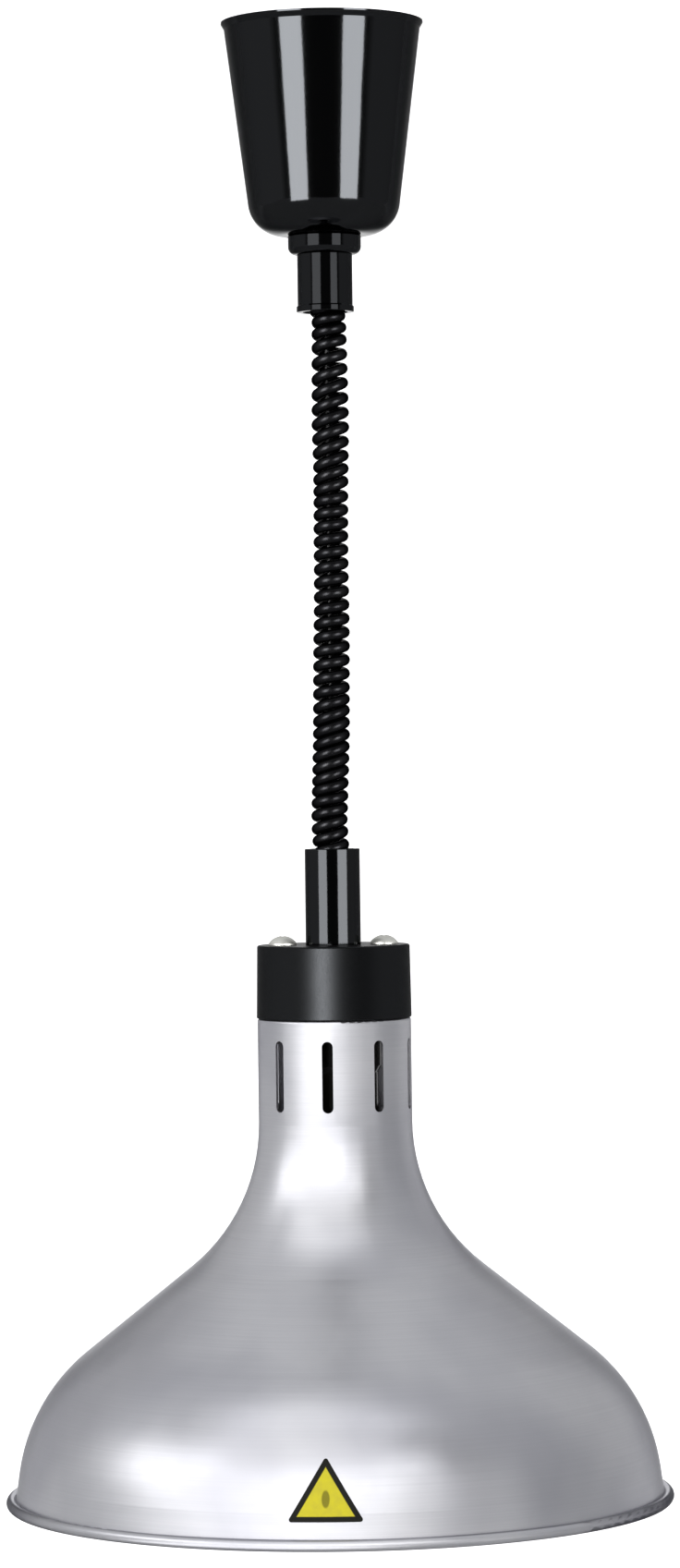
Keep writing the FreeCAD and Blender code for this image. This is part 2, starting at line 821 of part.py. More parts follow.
def supply_conductor(label, start_x, start_y, row):
    """One insulated conductor from the end of the sheath to its terminal."""
    level = "-bracket_thickness - frame_sheet - pole_drop"
    free_shape(label, swept_wire([
        (f"cord_rise + {start_x}", start_y, "-sheath_end"),
        (f"cord_rise + {start_x}", start_y, "-sheath_end + 3"),
        ("cord_rise + 2", f"({row}) * 0.6", f"{level} - 4.5"),
        ("block_left - 1.5", row, f"{level} - 0.2"),
        ("block_left + 1.5", row, level),
        ("block_left + 7", row, level),
    ], "conductor_radius"))


def supply_conductors():
    supply_conductor("live_conductor", "-0.6", "-1.05", "-pole_pitch")
    supply_conductor("earth_conductor", "1.15", "0", "0")
    supply_conductor("neutral_conductor", "-0.6", "1.05", "pole_pitch")


# --------------------------------------------------------------- the reel

def reel_drum():
    """A flanged drum, hollow for the spring and open on the cover side."""
    part = turned("reel_drum", [
        ("axle_radius + running_gap", "-drum_half_width"),
        ("flange_radius", "-drum_half_width"),
        ("flange_radius", "-drum_half_width + flange_sheet"),
        ("groove_radius", "-drum_half_width + flange_sheet"),
        ("groove_radius", "drum_half_width - flange_sheet"),
        ("flange_radius", "drum_half_width - flange_sheet"),
        ("flange_radius", "drum_half_width"),
        ("cover_radius + 0.05", "drum_half_width"),
        ("cover_radius + 0.05", "drum_half_width - cover_sheet"),
        ("drum_bore", "drum_half_width - cover_sheet"),
        ("drum_bore", "-drum_half_width + drum_wall"),
        ("axle_radius + running_gap", "-drum_half_width + drum_wall"),
    ])
    holes = new_sketch(part, "XY_Plane", lift="drum_half_width")
    for step in range(3):
        disc(holes, f"cover_screw_circle * cos({120 * step} deg)",
             f"cover_screw_circle * sin({120 * step} deg)", 0.72)
    pocket(part, holes, "5")
    on_reel(part)


def mainspring():
    """The flat coiled spring that winds the drum back."""
    inner = number("spring_inner")
    pitch = number("spring_pitch")
    turns = number("spring_turns")
    half = number("spring_strip") / 2
    low = number("-drum_half_width + drum_wall") + 0.3
    high = number("drum_half_width - cover_sheet") - 0.3

    def spiral(offset):
        spots = []
        for step in range(int(turns * 16) + 1):
            angle = step * math.pi / 8
            radius = inner + half + offset + pitch * angle / (2 * math.pi)
            spots.append(FreeCAD.Vector(radius * math.cos(angle), radius * math.sin(angle), low))
        curve = Part.BSplineCurve()
        curve.interpolate(spots)
        return curve.toShape(), spots[0], spots[-1]
    inside, inside_start, inside_end = spiral(-half)
    outside, outside_start, outside_end = spiral(half)
    strip = Part.Wire([
        inside,
        Part.makeLine(inside_end, outside_end),
        outside,
        Part.makeLine(outside_start, inside_start),
    ])
    spring = Part.Face(strip).extrude(FreeCAD.Vector(0, 0, high - low))
    part = free_shape("mainspring", spring)
    on_reel(part)


def spring_cover():
    """The disc that closes the drum."""
    part = tube("spring_cover", "axle_radius + running_gap", "cover_radius",
                "drum_half_width", "drum_half_width - cover_sheet")
    holes = new_sketch(part, "XY_Plane", lift="drum_half_width + 1")
    for step in range(3):
        disc(holes, f"cover_screw_circle * cos({120 * step} deg)",
             f"cover_screw_circle * sin({120 * step} deg)", 0.85)
    pocket(part, holes, "cover_sheet + 2")
    on_reel(part)


def cover_screws():
    """Three small screws round the cover."""
    spots = []
    for step in range(3):
        spots.append((f"cover_screw_circle * cos({120 * step} deg)",
                      f"-cover_screw_circle * sin({120 * step} deg)",
                      "-drum_half_width"))
    part = screw_group("cover_screws", (1.5, 0.8, 0.7, 3.8), spots)
    place(part, x="-reel_x", z="-reel_drop", axis=(1, 0, 0), angle=90.0)


def wire_windings():
    """The wire wound on the drum in one layer, under the turn that is being paid out."""
    height = number("winding_pitch * winding_turns")
    radius = number("winding_radius")
    coil = Part.makeHelix(number("winding_pitch"), height, radius)
    coil.translate(FreeCAD.Vector(0, 0, -height / 2))
    start = FreeCAD.Vector(radius, 0, -height / 2)
    ring = Part.Wire(Part.makeCircle(number("wire_radius"), start, FreeCAD.Vector(0, 1, 0)))
    part = free_shape("wire_windings", Part.Wire(coil.Edges).makePipeShell([ring], True, True))
    on_reel(part)


def wire_lead_in():
    """The wire from the outside of the windings to the mouth of the nozzle."""
    free_shape("wire_lead_in", swept_wire([
        ("0", "0", "-reel_drop"),
        ("0", "0", "-sleeve_mouth + 0.1"),
    ], "wire_radius"))


# ----------------------------------------------- hanging wire and cord

def suspension_wire():
    """The steel wire that carries the lamp."""
    part = tube("suspension_wire", "0", "wire_radius", "-sleeve_mouth", "-anchor_top - anchor_plate")
    place(part)


def curly_cord():
    """The coiled cord as one tube of its outer diameter, round the wire."""
    part = tube("curly_cord", "coil_bore", "coil_radius",
                "-stem_foot - guide_plate", "-anchor_top")
    place(part)


# -------------------------------------------------------- the lamp head

def lower_sleeve():
    """The sleeve on top of the cap that takes in the coiled cord."""
    part = turned("lower_sleeve", [
        ("sleeve_bore", "-lower_sleeve_top"),
        ("sleeve_radius", "-lower_sleeve_top"),
        ("lower_sleeve_foot_radius", "-cap_top"),
        ("stem_radius + thread_gap", "-cap_top"),
        ("stem_radius + thread_gap", "-anchor_top - anchor_plate"),
        ("sleeve_bore", "-anchor_top - anchor_plate"),
    ])
    round_off(part, "0.5", ring_edge("sleeve_radius", "-lower_sleeve_top"),
              ring_edge("sleeve_bore", "-lower_sleeve_top"))
    place(part)


def wire_anchor():
    """A plate on top of the nipple that takes the pull of the wire."""
    part = tube("wire_anchor", "wire_radius + 0.03", "sleeve_bore - 0.03",
                "-anchor_top", "-anchor_top - anchor_plate")
    hole = new_sketch(part, "XY_Plane", lift="-anchor_top + 0.5")
    disc(hole, "cord_side", "0", "cord_radius + 0.03")
    pocket(part, hole, "anchor_plate + 1")
    place(part)


def wire_ferrule():
    """The crimped stop on the end of the wire, hard up under the anchor plate."""
    part = tube("wire_ferrule", "0", "ferrule_radius",
                "-anchor_top - anchor_plate", "-anchor_top - anchor_plate - ferrule_length")
    round_off(part, "0.3", ring_edge("ferrule_radius", "-anchor_top - anchor_plate - ferrule_length"))
    place(part)


def lamp_nipple():
    """The hollow threaded tube through the top of the cap."""
    part = tube("lamp_nipple", "stem_bore", "stem_radius",
                "-anchor_top - anchor_plate", "-nipple_foot")
    place(part)


def nipple_locknut():
    """The hexagon nut that pulls the sleeve and the cap together."""
    part = new_body("nipple_locknut")
    nut = new_sketch(part, "XY_Plane")
    hexagon(nut, "locknut_flats + 3")
    disc(nut, "0", "0", "stem_radius + thread_gap")
    pad(part, nut, "locknut_height")
    place(part, z="-cap_top - cap_wall - locknut_height")


def cord_lower_tail():
    """The straight lower end of the cord, down into the cap."""
    free_shape("cord_lower_tail", swept_wire([
        ("cord_side", "0", "-anchor_top"),
        ("cord_side", "0", "-nipple_foot - 4"),
    ], "cord_radius"))


def cap():
    """The round cap over the neck of the shade."""
    part = turned("cap", [
        ("stem_radius + 0.1", "-cap_top"),
        ("cap_top_radius", "-cap_top"),
        ("cap_foot_radius", "-cap_foot"),
        ("cap_foot_radius - cap_wall", "-cap_foot"),
        ("cap_top_radius - cap_wall", "-cap_top - cap_wall"),
        ("stem_radius + 0.1", "-cap_top - cap_wall"),
    ])
    round_off(part, "0.9", ring_edge("cap_top_radius", "-cap_top"))
    round_off(part, "0.5", ring_edge("cap_foot_radius", "-cap_foot"))
    holes = new_sketch(part, "XY_Plane", lift="-cap_top + 1")
    for side in ("-", ""):
        disc(holes, f"{side}cap_screw_offset", "0", "cap_screw_radius + 0.1")
    pocket(part, holes, "cap_wall + 2")
    place(part)


def cap_screws():
    """Two long dome-headed screws through the cap, the shade and the holder plate."""
    part = new_body("cap_screws")
    profile = new_sketch(part, "XZ_Plane")
    reach = "cap_foot - cap_top + shade_sheet + plate_sheet + 5"
    dome_round = "dome_radius ^ 2 / (2 * (dome_height - 0.8)) + (dome_height - 0.8) / 2"
    outline(profile, [
        (0.0, "dome_height"), (0.0, f"-({reach})"), ("cap_screw_radius", f"-({reach})"),
        ("cap_screw_radius", 0.0), ("dome_radius", 0.0), ("dome_radius", 0.8, dome_round, 1),
    ])
    revolve(part, profile)
    cross = new_sketch(part, "XY_Plane", lift="dome_height")
    outline(cross, [
        (-0.5, -2.2), (0.5, -2.2), (0.5, -0.5), (2.2, -0.5), (2.2, 0.5), (0.5, 0.5),
        (0.5, 2.2), (-0.5, 2.2), (-0.5, 0.5), (-2.2, 0.5), (-2.2, -0.5), (-0.5, -0.5),
    ])
    pocket(part, cross, "2")
    parts.remove(part)
    part.Label = "cap_screw_pattern"
    doc.recompute()
    solids = []
    for side in (-1, 1):
        solid = part.Shape.Solids[0].copy()
        spot = FreeCAD.Vector(side * number("cap_screw_offset"), 0, -number("cap_top"))
        solid.Placement = FreeCAD.Placement(spot, FreeCAD.Rotation())
        solids.append(solid)
    free_shape("cap_screws", Part.makeCompound(solids))


def cap_screw_nuts():
    """Two nuts under the holder plate."""
    part = new_body("cap_screw_nuts")
    nuts = new_sketch(part, "XY_Plane")
    for side in ("-", ""):
        hexagon(nuts, "7", x=f"{side}cap_screw_offset")
        disc(nuts, f"{side}cap_screw_offset", "0", "cap_screw_radius + thread_gap")
    pad(part, nuts, "3.2", reverse=True)
    place(part, z="-cap_foot - shade_sheet - plate_sheet")


def shade():
    """The spun aluminium bell: slotted neck, flare, cone, bell and rolled bead."""
    turn_in = "(cap_foot + shoulder_round)"
    outer = bell_outline(
        "neck_radius", "-neck_foot", "flare_round", "cone_angle", "cone_length",
        "bell_round", "skirt_angle", "0")
    inner = bell_outline(
        "neck_radius", "-neck_foot", "flare_round", "cone_angle", "cone_length",
        "bell_round", "skirt_angle", "shade_sheet")
    skirt_r = "skirt_length * sin(skirt_angle * 1 deg)"
    skirt_z = "skirt_length * cos(skirt_angle * 1 deg)"
    corners = [
        ("shade_flange_bore", "-cap_foot"),
        ("shade_flange_bore", "-cap_foot - shade_sheet"),
        ("neck_top_radius - shade_sheet", "-cap_foot - shade_sheet"),
        (inner[0][0], inner[0][1], "flare_round + shade_sheet", 1),
        (inner[1][0], inner[1][1]),
        (inner[2][0], inner[2][1], "bell_round - shade_sheet", -1),
        (inner[3][0], inner[3][1]),
        (f"{inner[3][0]} + {skirt_r}", f"{inner[3][1]} - {skirt_z}"),
        (f"{outer[3][0]} + {skirt_r}", f"{outer[3][1]} - {skirt_z}"),
        (outer[3][0], outer[3][1], "bell_round", 1),
        (outer[2][0], outer[2][1]),
        (outer[1][0], outer[1][1], "flare_round", -1),
        (outer[0][0], outer[0][1]),
        ("neck_top_radius", f"-{turn_in}", "shoulder_round", 1),
        ("neck_top_radius - shoulder_round", "-cap_foot"),
    ]
    part = turned("shade", corners)
    bead = new_sketch(part, "XZ_Plane")
    disc(bead, "bead_circle", "-bead_drop", "bead_radius")
    revolve(part, bead)
    holes = new_sketch(part, "XY_Plane", lift="-cap_foot + 1")
    for side in ("-", ""):
        disc(holes, f"{side}cap_screw_offset", "0", "cap_screw_radius + 0.2")
    disc(holes, "0", "earth_screw_offset", 1.8)
    pocket(part, holes, "shade_sheet + 2")
    slot = new_sketch(part, "XZ_Plane", turn=SIZES["slot_turn"])
    slot_outline(slot, "0", "-(slot_top + slot_foot) / 2", "slot_foot - slot_top", "slot_radius")
    cut = pocket(part, slot, "neck_top_radius + 5", reverse=True)
    in_a_ring(part, cut, int(number("slot_count")))
    place(part)


def bell_outline(radius, level, flare, angle, cone, bell, end_angle, depth):
    """Four points of a bell wall: start of the flare, both ends of the cone, end of the bell.

    depth is the distance of this surface inside the outer one."""
    a = f"({angle} * 1 deg)"
    b = f"({end_angle} * 1 deg)"
    first = (f"{radius} - {depth}", level)
    second = (f"{radius} + {flare} - ({flare} + {depth}) * cos{a}",
              f"{level} - ({flare} + {depth}) * sin{a}")
    third = (f"{second[0]} + {cone} * sin{a}", f"{second[1]} - {cone} * cos{a}")
    fourth = (f"{third[0]} + ({bell} - {depth}) * (cos{b} - cos{a})",
              f"{third[1]} + ({bell} - {depth}) * (sin{b} - sin{a})")
    return [first, second, third, fourth]


def shade_label():
    """A generic three-sided label, a thin film that follows the bell and its skirt."""
    surface = bell_outline(
        "neck_radius", "-neck_foot", "flare_round", "cone_angle", "cone_length",
        "bell_round", "skirt_angle", "0")
    third = surface[2]
    angle = math.radians(number("cone_angle"))
    reach = number("bell_round")
    centre_r = number(third[0]) - reach * math.cos(angle)
    centre_z = number(third[1]) - reach * math.sin(angle)
    gap = number("label_gap")
    centre = FreeCAD.Vector(centre_r, 0, centre_z)
    faces = []
    for height in (gap, gap + number("label_film")):
        spots = []
        for degrees in (number("skirt_angle"), 30.0, 50.0):
            turn = math.radians(degrees)
            step = FreeCAD.Vector(math.cos(turn), 0, math.sin(turn)) * (reach + height)
            spots.append(centre + step)
        lean = math.radians(number("skirt_angle"))
        down = FreeCAD.Vector(math.sin(lean), 0, -math.cos(lean)) * (number("skirt_length") / 2)
        faces.append([spots[0] + down, *spots])
    end, low, mid, high = faces[0]
    end_out, low_out, mid_out, high_out = faces[1]
    strip = Part.Face(Part.Wire([
        Part.makeLine(end, low),
        Part.Arc(low, mid, high).toShape(),
        Part.makeLine(high, high_out),
        Part.Arc(high_out, mid_out, low_out).toShape(),
        Part.makeLine(low_out, end_out),
        Part.makeLine(end_out, end),
    ]))
    ring = strip.revolve(FreeCAD.Vector(), FreeCAD.Vector(0, 0, 1), 360.0)
    half = number("label_half_side")
    foot = -number("label_foot")
    tip = foot + number("label_height")
    triangle = Part.Face(Part.makePolygon([
        FreeCAD.Vector(-half, 0, foot), FreeCAD.Vector(half, 0, foot),
        FreeCAD.Vector(0, 0, tip), FreeCAD.Vector(-half, 0, foot),
    ]))
    prism = triangle.extrude(FreeCAD.Vector(0, -200, 0))
    long_edges = [edge for edge in prism.Edges if edge.BoundBox.YLength > 100]
    prism = prism.makeFillet(number("label_corner"), long_edges)
    prism.rotate(FreeCAD.Vector(), FreeCAD.Vector(0, 0, 1), number("label_turn"))
    film_shape = ring.common(prism)
    free_shape("shade_label", film_shape.Solids[0])


def holder_plate():
    """The plate under the top of the shade that carries the lampholder."""
    part = tube("holder_plate", "8", "plate_radius",
                "-cap_foot - shade_sheet", "-cap_foot - shade_sheet - plate_sheet")
    holes = new_sketch(part, "XY_Plane", lift="-cap_foot")
    for side in ("-", ""):
        disc(holes, f"{side}cap_screw_offset", "0", "cap_screw_radius + 0.1")
        disc(holes, "0", f"{side}12", 1.6)
    disc(holes, "0", "earth_screw_offset", 1.65)
    pocket(part, holes, "shade_sheet + plate_sheet + 2")
    place(part)


def holder_screws():
    """Two screws from above into the porcelain."""
    level = "-cap_foot - shade_sheet"
    screw_group("holder_screws", (2.8, 2.0, 1.5, 9.0),
                [("0", "-12", level), ("0", "12", level)], axis=(1, 0, 0), angles=[180.0, 180.0])


def holder_earth_screw():
    level = "-cap_foot - shade_sheet - plate_sheet"
    screw_group("holder_earth_screw", (3.0, 2.2, 1.6, 6.0), [("0", "earth_screw_offset", level)])


def lampholder():
    """The porcelain holder: terminal chamber above, socket below, notches past the cap screws."""
    top = "-cap_foot - shade_sheet - plate_sheet"
    part = turned("lampholder", [
        ("9", top), ("holder_radius", top),
        ("holder_radius", "-holder_floor_top - 6"),
        ("holder_mouth_radius", "-holder_floor_top - 9"),
        ("holder_mouth_radius", "-holder_foot"),
        ("holder_bore", "-holder_foot"),
        ("holder_bore", "-holder_floor"),
        ("2.6", "-holder_floor"),
        ("2.6", "-holder_floor_top"),
        ("9", "-holder_floor_top"),
    ])
    round_off(part, "1.5", ring_edge("holder_mouth_radius", "-holder_foot"),
              ring_edge("holder_radius", top))
    holes = new_sketch(part, "XY_Plane", lift=f"{top} + 1")
    for side in ("-", ""):
        disc(holes, "0", f"{side}12", 1.55)
        disc(holes, f"{side}cap_screw_offset", "0", 5.0)
    pocket(part, holes, "9")
    place(part)


def screw_shell():
    """The metal shell of the socket, with thread ridges on the inside."""
    part = tube("screw_shell", "shell_inner", "shell_outer", "-holder_floor - 3", "-holder_foot + 1.5")
    ridge = new_sketch(part, "XZ_Plane")
    first = "-holder_floor - 3 - edison_pitch"
    outline(ridge, [
        ("shell_inner + 0.1", f"{first} + 1.0"),
        ("shell_inner - 0.35", f"{first} + 0.35"),
        ("shell_inner - 0.35", f"{first} - 0.35"),
        ("shell_inner + 0.1", f"{first} - 1.0"),
    ])
    ring = revolve(part, ridge)
    in_a_row(part, ring, "Z_Axis", 6, "edison_pitch * 5")
    part.Tip.Reversed = True
    place(part)


def centre_contact():
    """The spring contact in the floor of the socket."""
    part = turned("centre_contact", [
        (0.0, "-holder_floor_top + 1"), ("2.5", "-holder_floor_top + 1"),
        ("2.5", "-holder_floor - 0.1"), ("5.0", "-holder_floor - 0.1"),
        ("5.0", "-bulb_contact_top + 0.6"), ("2.0", "-bulb_contact_top"), (0.0, "-bulb_contact_top"),
    ])
    place(part)


def holder_terminals():
    """Two terminal clamps in the chamber of the holder."""
    part = new_body("holder_terminals")
    blocks = new_sketch(part, "XY_Plane")
    rectangle(blocks, "3.4", "-3", "8.4", "3")
    rectangle(blocks, "-8.4", "-3", "-3.4", "3")
    pad(part, blocks, "5")
    holes = new_sketch(part, "XY_Plane", lift="6")
    disc(holes, "5.9", "1.2", 1.3)
    disc(holes, "-5.9", "1.2", 1.3)
    pocket(part, holes, "5")
    place(part, z="-holder_floor_top")


def conductor_to_holder(label, side, start_y):
    """One insulated conductor from the cord to its holder terminal."""
    free_shape(label, swept_wire([
        (f"cord_side + {side} * 1.0", start_y, "-nipple_foot - 4"),
        (f"cord_side + {side} * 1.0", start_y, "-nipple_foot - 8"),
        (f"{side} * 5.0", "-1.5", "-cap_foot + 8"),
        (f"{side} * 5.9", "1.2", "-cap_foot - 2"),
        (f"{side} * 5.9", "1.2", "-holder_floor_top + 2.5"),
    ], "conductor_radius"))


def holder_conductors():
    conductor_to_holder("holder_live_conductor", "1", "-0.35")
    conductor_to_holder("holder_neutral_conductor", "-1", "-0.35")
    free_shape("holder_earth_conductor", swept_wire([
        ("cord_side", "1.25", "-nipple_foot - 4"),
        ("cord_side", "1.25", "-nipple_foot - 7"),
        ("cord_side + 2", "8", "-cap_foot + 13"),
        ("5", "19", "-cap_foot + 8"),
        ("0", "earth_screw_offset", "-cap_foot + 4.6"),
    ], "conductor_radius"))


# --------------------------------------------------------------- the bulb

def bulb_base():
    """The screw base of the bulb, with thread ridges on the outside."""
    part = turned("bulb_base", [
        ("bulb_base_radius - 1.6", "-bulb_base_top"),
        ("bulb_base_radius - 1.0", "-bulb_base_top"),
        ("bulb_base_radius", "-bulb_base_top - 1.2"),
        ("bulb_base_radius", "-bulb_base_foot"),
        ("bulb_base_radius - 0.5", "-bulb_base_foot"),
        ("bulb_base_radius - 0.5", "-bulb_base_top - 1.4"),
    ])
    ridge = new_sketch(part, "XZ_Plane")
    first = "-holder_floor - 3 - edison_pitch * 1.5 - 0.9"
    outline(ridge, [
        ("bulb_base_radius - 0.1", f"{first} - 0.75"),
        ("bulb_base_radius + 0.3", f"{first} - 0.2"),
        ("bulb_base_radius + 0.3", f"{first} + 0.2"),
        ("bulb_base_radius - 0.1", f"{first} + 0.75"),
    ])
    ring = revolve(part, ridge)
    in_a_row(part, ring, "Z_Axis", 5, "edison_pitch * 4")
    part.Tip.Reversed = True
    place(part)


def bulb_insulator():
    """The glass insulator between the base and its contact."""
    part = turned("bulb_insulator", [
        (0.0, "-bulb_contact_top - 2"), ("5.0", "-bulb_contact_top - 2"),
        ("bulb_base_radius - 1.7", "-bulb_base_top"), (0.0, "-bulb_base_top"),
    ])
    place(part)


def bulb_contact():
    """The soldered end contact."""
    part = turned("bulb_contact", [
        (0.0, "-bulb_contact_top"), ("2.4", "-bulb_contact_top"),
        ("4.6", "-bulb_contact_top - 2"), (0.0, "-bulb_contact_top - 2"),
    ])
    round_off(part, "0.6", ring_edge("2.4", "-bulb_contact_top"))
    place(part)


def bulb_glass():
    """The reflector envelope, a closed shell of glass."""
    points = {}
    for name, depth in (("outer", "0"), ("inner", "bulb_glass_wall")):
        rows = bell_outline(
            "bulb_neck_radius", "-bulb_neck_foot", "bulb_flare_round", "bulb_cone_angle",
            "bulb_cone_length", "bulb_bell_round", "0", depth)
        widest = rows[3]
        turn = "(bulb_shoulder_angle * 1 deg)"
        round_size = f"(bulb_shoulder_round - {depth})"
        shoulder = (f"{widest[0]} - {round_size} * (1 - cos{turn})",
                    f"{widest[1]} - {round_size} * sin{turn}")
        face_round = f"(({shoulder[0]}) / cos{turn})"
        tip = ("0", f"{shoulder[1]} - {face_round} * (1 - sin{turn})")
        points[name] = rows + [shoulder, tip, face_round]
    outer, inner = points["outer"], points["inner"]
    seat = "bulb_base_radius - 0.6"
    neck_top = "-bulb_base_foot - 9"
    part = turned("bulb_glass", [
        (seat, "-bulb_base_foot + 2"),
        (f"{seat} - bulb_glass_wall", "-bulb_base_foot + 2"),
        (f"{seat} - bulb_glass_wall", "-bulb_base_foot"),
        ("bulb_neck_radius - bulb_glass_wall", neck_top),
        (inner[0][0], inner[0][1], "bulb_flare_round + bulb_glass_wall", 1),
        (inner[1][0], inner[1][1]),
        (inner[2][0], inner[2][1], "bulb_bell_round - bulb_glass_wall", -1),
        (inner[3][0], inner[3][1], "bulb_shoulder_round - bulb_glass_wall", -1),
        (inner[4][0], inner[4][1], inner[6], -1),
        (inner[5][0], inner[5][1]),
        (outer[5][0], outer[5][1], outer[6], 1),
        (outer[4][0], outer[4][1], "bulb_shoulder_round", 1),
        (outer[3][0], outer[3][1], "bulb_bell_round", 1),
        (outer[2][0], outer[2][1]),
        (outer[1][0], outer[1][1], "bulb_flare_round", -1),
        (outer[0][0], outer[0][1]),
        ("bulb_neck_radius", neck_top),
        (seat, "-bulb_base_foot"),
    ])
    place(part)


def glass_stem():
    """The glass foot inside the bulb that holds the wires."""
    part = turned("glass_stem", [
        (0.0, "-bulb_base_foot + 1"), ("7", "-bulb_base_foot + 1"), ("4.5", "-bulb_base_foot - 8"),
        ("4.5", "-bulb_base_foot - 28"), ("2.2", "-bulb_base_foot - 32"),
        ("2.2", "-bulb_base_foot - 44"), (0.0, "-bulb_base_foot - 44"),
    ])
    place(part)


def filament_spots():
    """Where the filament hangs from its supports: most of a circle under the stem."""
    spots = []
    for step in range(6):
        angle = math.radians(30 + 60 * step)
        spots.append((15 * math.cos(angle), 15 * math.sin(angle)))
    return spots


def filament():
    """The heating wire round its supports."""
    level = number("-bulb_base_foot - 62")
    points = [(x, y, level) for x, y in filament_spots()]
    free_shape("filament", swept_wire(points, 0.5))


def filament_supports():
    """Six stiff wires from the stem to the filament."""
    level = number("-bulb_base_foot - 61.4")
    top = number("-bulb_base_foot - 42")
    solids = []
    for x, y in filament_spots():
        start = (x * 0.1, y * 0.1, top)
        knee = (x * 0.6, y * 0.6, top - 8)
        solids.append(swept_wire([start, knee, (x, y, level)], 0.25))
    free_shape("filament_supports", Part.makeCompound(solids))


# ------------------------------------------------------------ everything

ceiling_bracket()
reel_frame()
frame_screws()
earth_screw()
reel_axle()
axle_clips()
axle_washers()
threaded_stem()
stem_locknuts()
canopy()
collar_nut()
upper_sleeve()
wire_guide()
cord_clamp()
clamp_screws()
terminal_block()
terminal_barrels()
terminal_screws()
block_screws()
cord_upper_tail()
supply_conductors()
wire_lead_in()

reel_drum()
mainspring()
spring_cover()
cover_screws()
wire_windings()

suspension_wire()
curly_cord()

lower_sleeve()
wire_anchor()
wire_ferrule()
lamp_nipple()
nipple_locknut()
cord_lower_tail()
cap()
cap_screws()
cap_screw_nuts()
shade()
shade_label()
holder_plate()
holder_screws()
holder_earth_screw()
lampholder()
screw_shell()
centre_contact()
holder_terminals()
holder_conductors()
bulb_base()
bulb_insulator()
bulb_contact()
bulb_glass()
glass_stem()
filament()
filament_supports()

doc.recompute()
for item in doc.Objects:
    if "Invalid" in item.State or "Error" in item.State:
        raise RuntimeError(f"{item.Label} ({item.Name}) failed: {item.State}")
os.makedirs("parts", exist_ok=True)
for part in parts:
    if part.Shape.isNull() or not part.Shape.isValid():
        raise RuntimeError(f"{part.Label} has a bad shape")
    part.Shape.exportStep(f"parts/{part.Label}.step")
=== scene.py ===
import bmesh
import bpy
import json
import math
import numpy as np
from mathutils import Matrix, Vector


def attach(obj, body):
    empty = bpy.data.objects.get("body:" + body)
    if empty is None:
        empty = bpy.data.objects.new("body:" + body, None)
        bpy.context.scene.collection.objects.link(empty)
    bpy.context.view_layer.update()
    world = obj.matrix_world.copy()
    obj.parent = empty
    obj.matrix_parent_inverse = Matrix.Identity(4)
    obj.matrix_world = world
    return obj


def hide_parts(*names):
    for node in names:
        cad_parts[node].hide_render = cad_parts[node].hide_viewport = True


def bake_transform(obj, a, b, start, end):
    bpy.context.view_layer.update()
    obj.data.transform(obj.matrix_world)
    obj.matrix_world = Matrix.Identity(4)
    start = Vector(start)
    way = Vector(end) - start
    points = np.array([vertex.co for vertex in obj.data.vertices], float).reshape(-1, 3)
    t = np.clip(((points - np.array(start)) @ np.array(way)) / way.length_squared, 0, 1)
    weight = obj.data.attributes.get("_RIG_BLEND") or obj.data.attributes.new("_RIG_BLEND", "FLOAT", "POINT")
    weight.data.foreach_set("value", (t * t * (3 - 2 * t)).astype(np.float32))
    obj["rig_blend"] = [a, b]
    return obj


# Rise-and-fall heat lamp, in metres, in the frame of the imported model.
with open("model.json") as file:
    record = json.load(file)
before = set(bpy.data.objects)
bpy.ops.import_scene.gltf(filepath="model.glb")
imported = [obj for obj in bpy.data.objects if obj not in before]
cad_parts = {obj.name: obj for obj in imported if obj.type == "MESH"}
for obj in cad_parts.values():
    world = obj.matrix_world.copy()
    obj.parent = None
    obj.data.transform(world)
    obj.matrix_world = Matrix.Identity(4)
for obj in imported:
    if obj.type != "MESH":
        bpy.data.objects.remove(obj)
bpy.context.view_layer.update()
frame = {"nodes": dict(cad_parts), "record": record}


# ---------------------------------------------------------------- camera

CAMERA_PLACE = (0.0039, -2.231, -0.3215)
CAMERA_ROLL = 0.73
CAMERA_DIP = 0.242
LENS = 78.56
SENSOR_HEIGHT = 24.0


def add_camera():
    """Level with the lamp's middle, 2.23 m in front of it, with a slight roll and dip."""
    camera = bpy.data.cameras.new("camera")
    camera.sensor_fit = "VERTICAL"
    camera.sensor_height = SENSOR_HEIGHT
    camera.lens = LENS
    camera.clip_start = 0.05
    camera.clip_end = 50.0
    holder = bpy.data.objects.new("camera", camera)
    bpy.context.collection.objects.link(holder)
    holder.location = CAMERA_PLACE
    turn = Matrix.Rotation(math.radians(CAMERA_ROLL), 3, "Y")
    level = Matrix.Rotation(math.radians(90.0 - CAMERA_DIP), 3, "X")
    holder.rotation_euler = (turn @ level).to_euler()
    bpy.context.scene.camera = holder
    bpy.context.scene.view_settings.view_transform = "Standard"


# -------------------------------------------------------------- the cords

# Heights: the mouth of the upper sleeve, where the lamp swings, and both ends of the coil.
PIVOT = -0.1259
COIL_TOP = -0.1125
COIL_FOOT = -0.387
CORD_RADIUS = 0.0025
COIL_STEPS = 12
TUBE_SIDES = 16


def along(height, stops):
    """The value at a height, in straight runs between (height, value) stops."""
    stops = sorted(stops)
    return float(np.interp(height, [stop[0] for stop in stops], [stop[1] for stop in stops]))


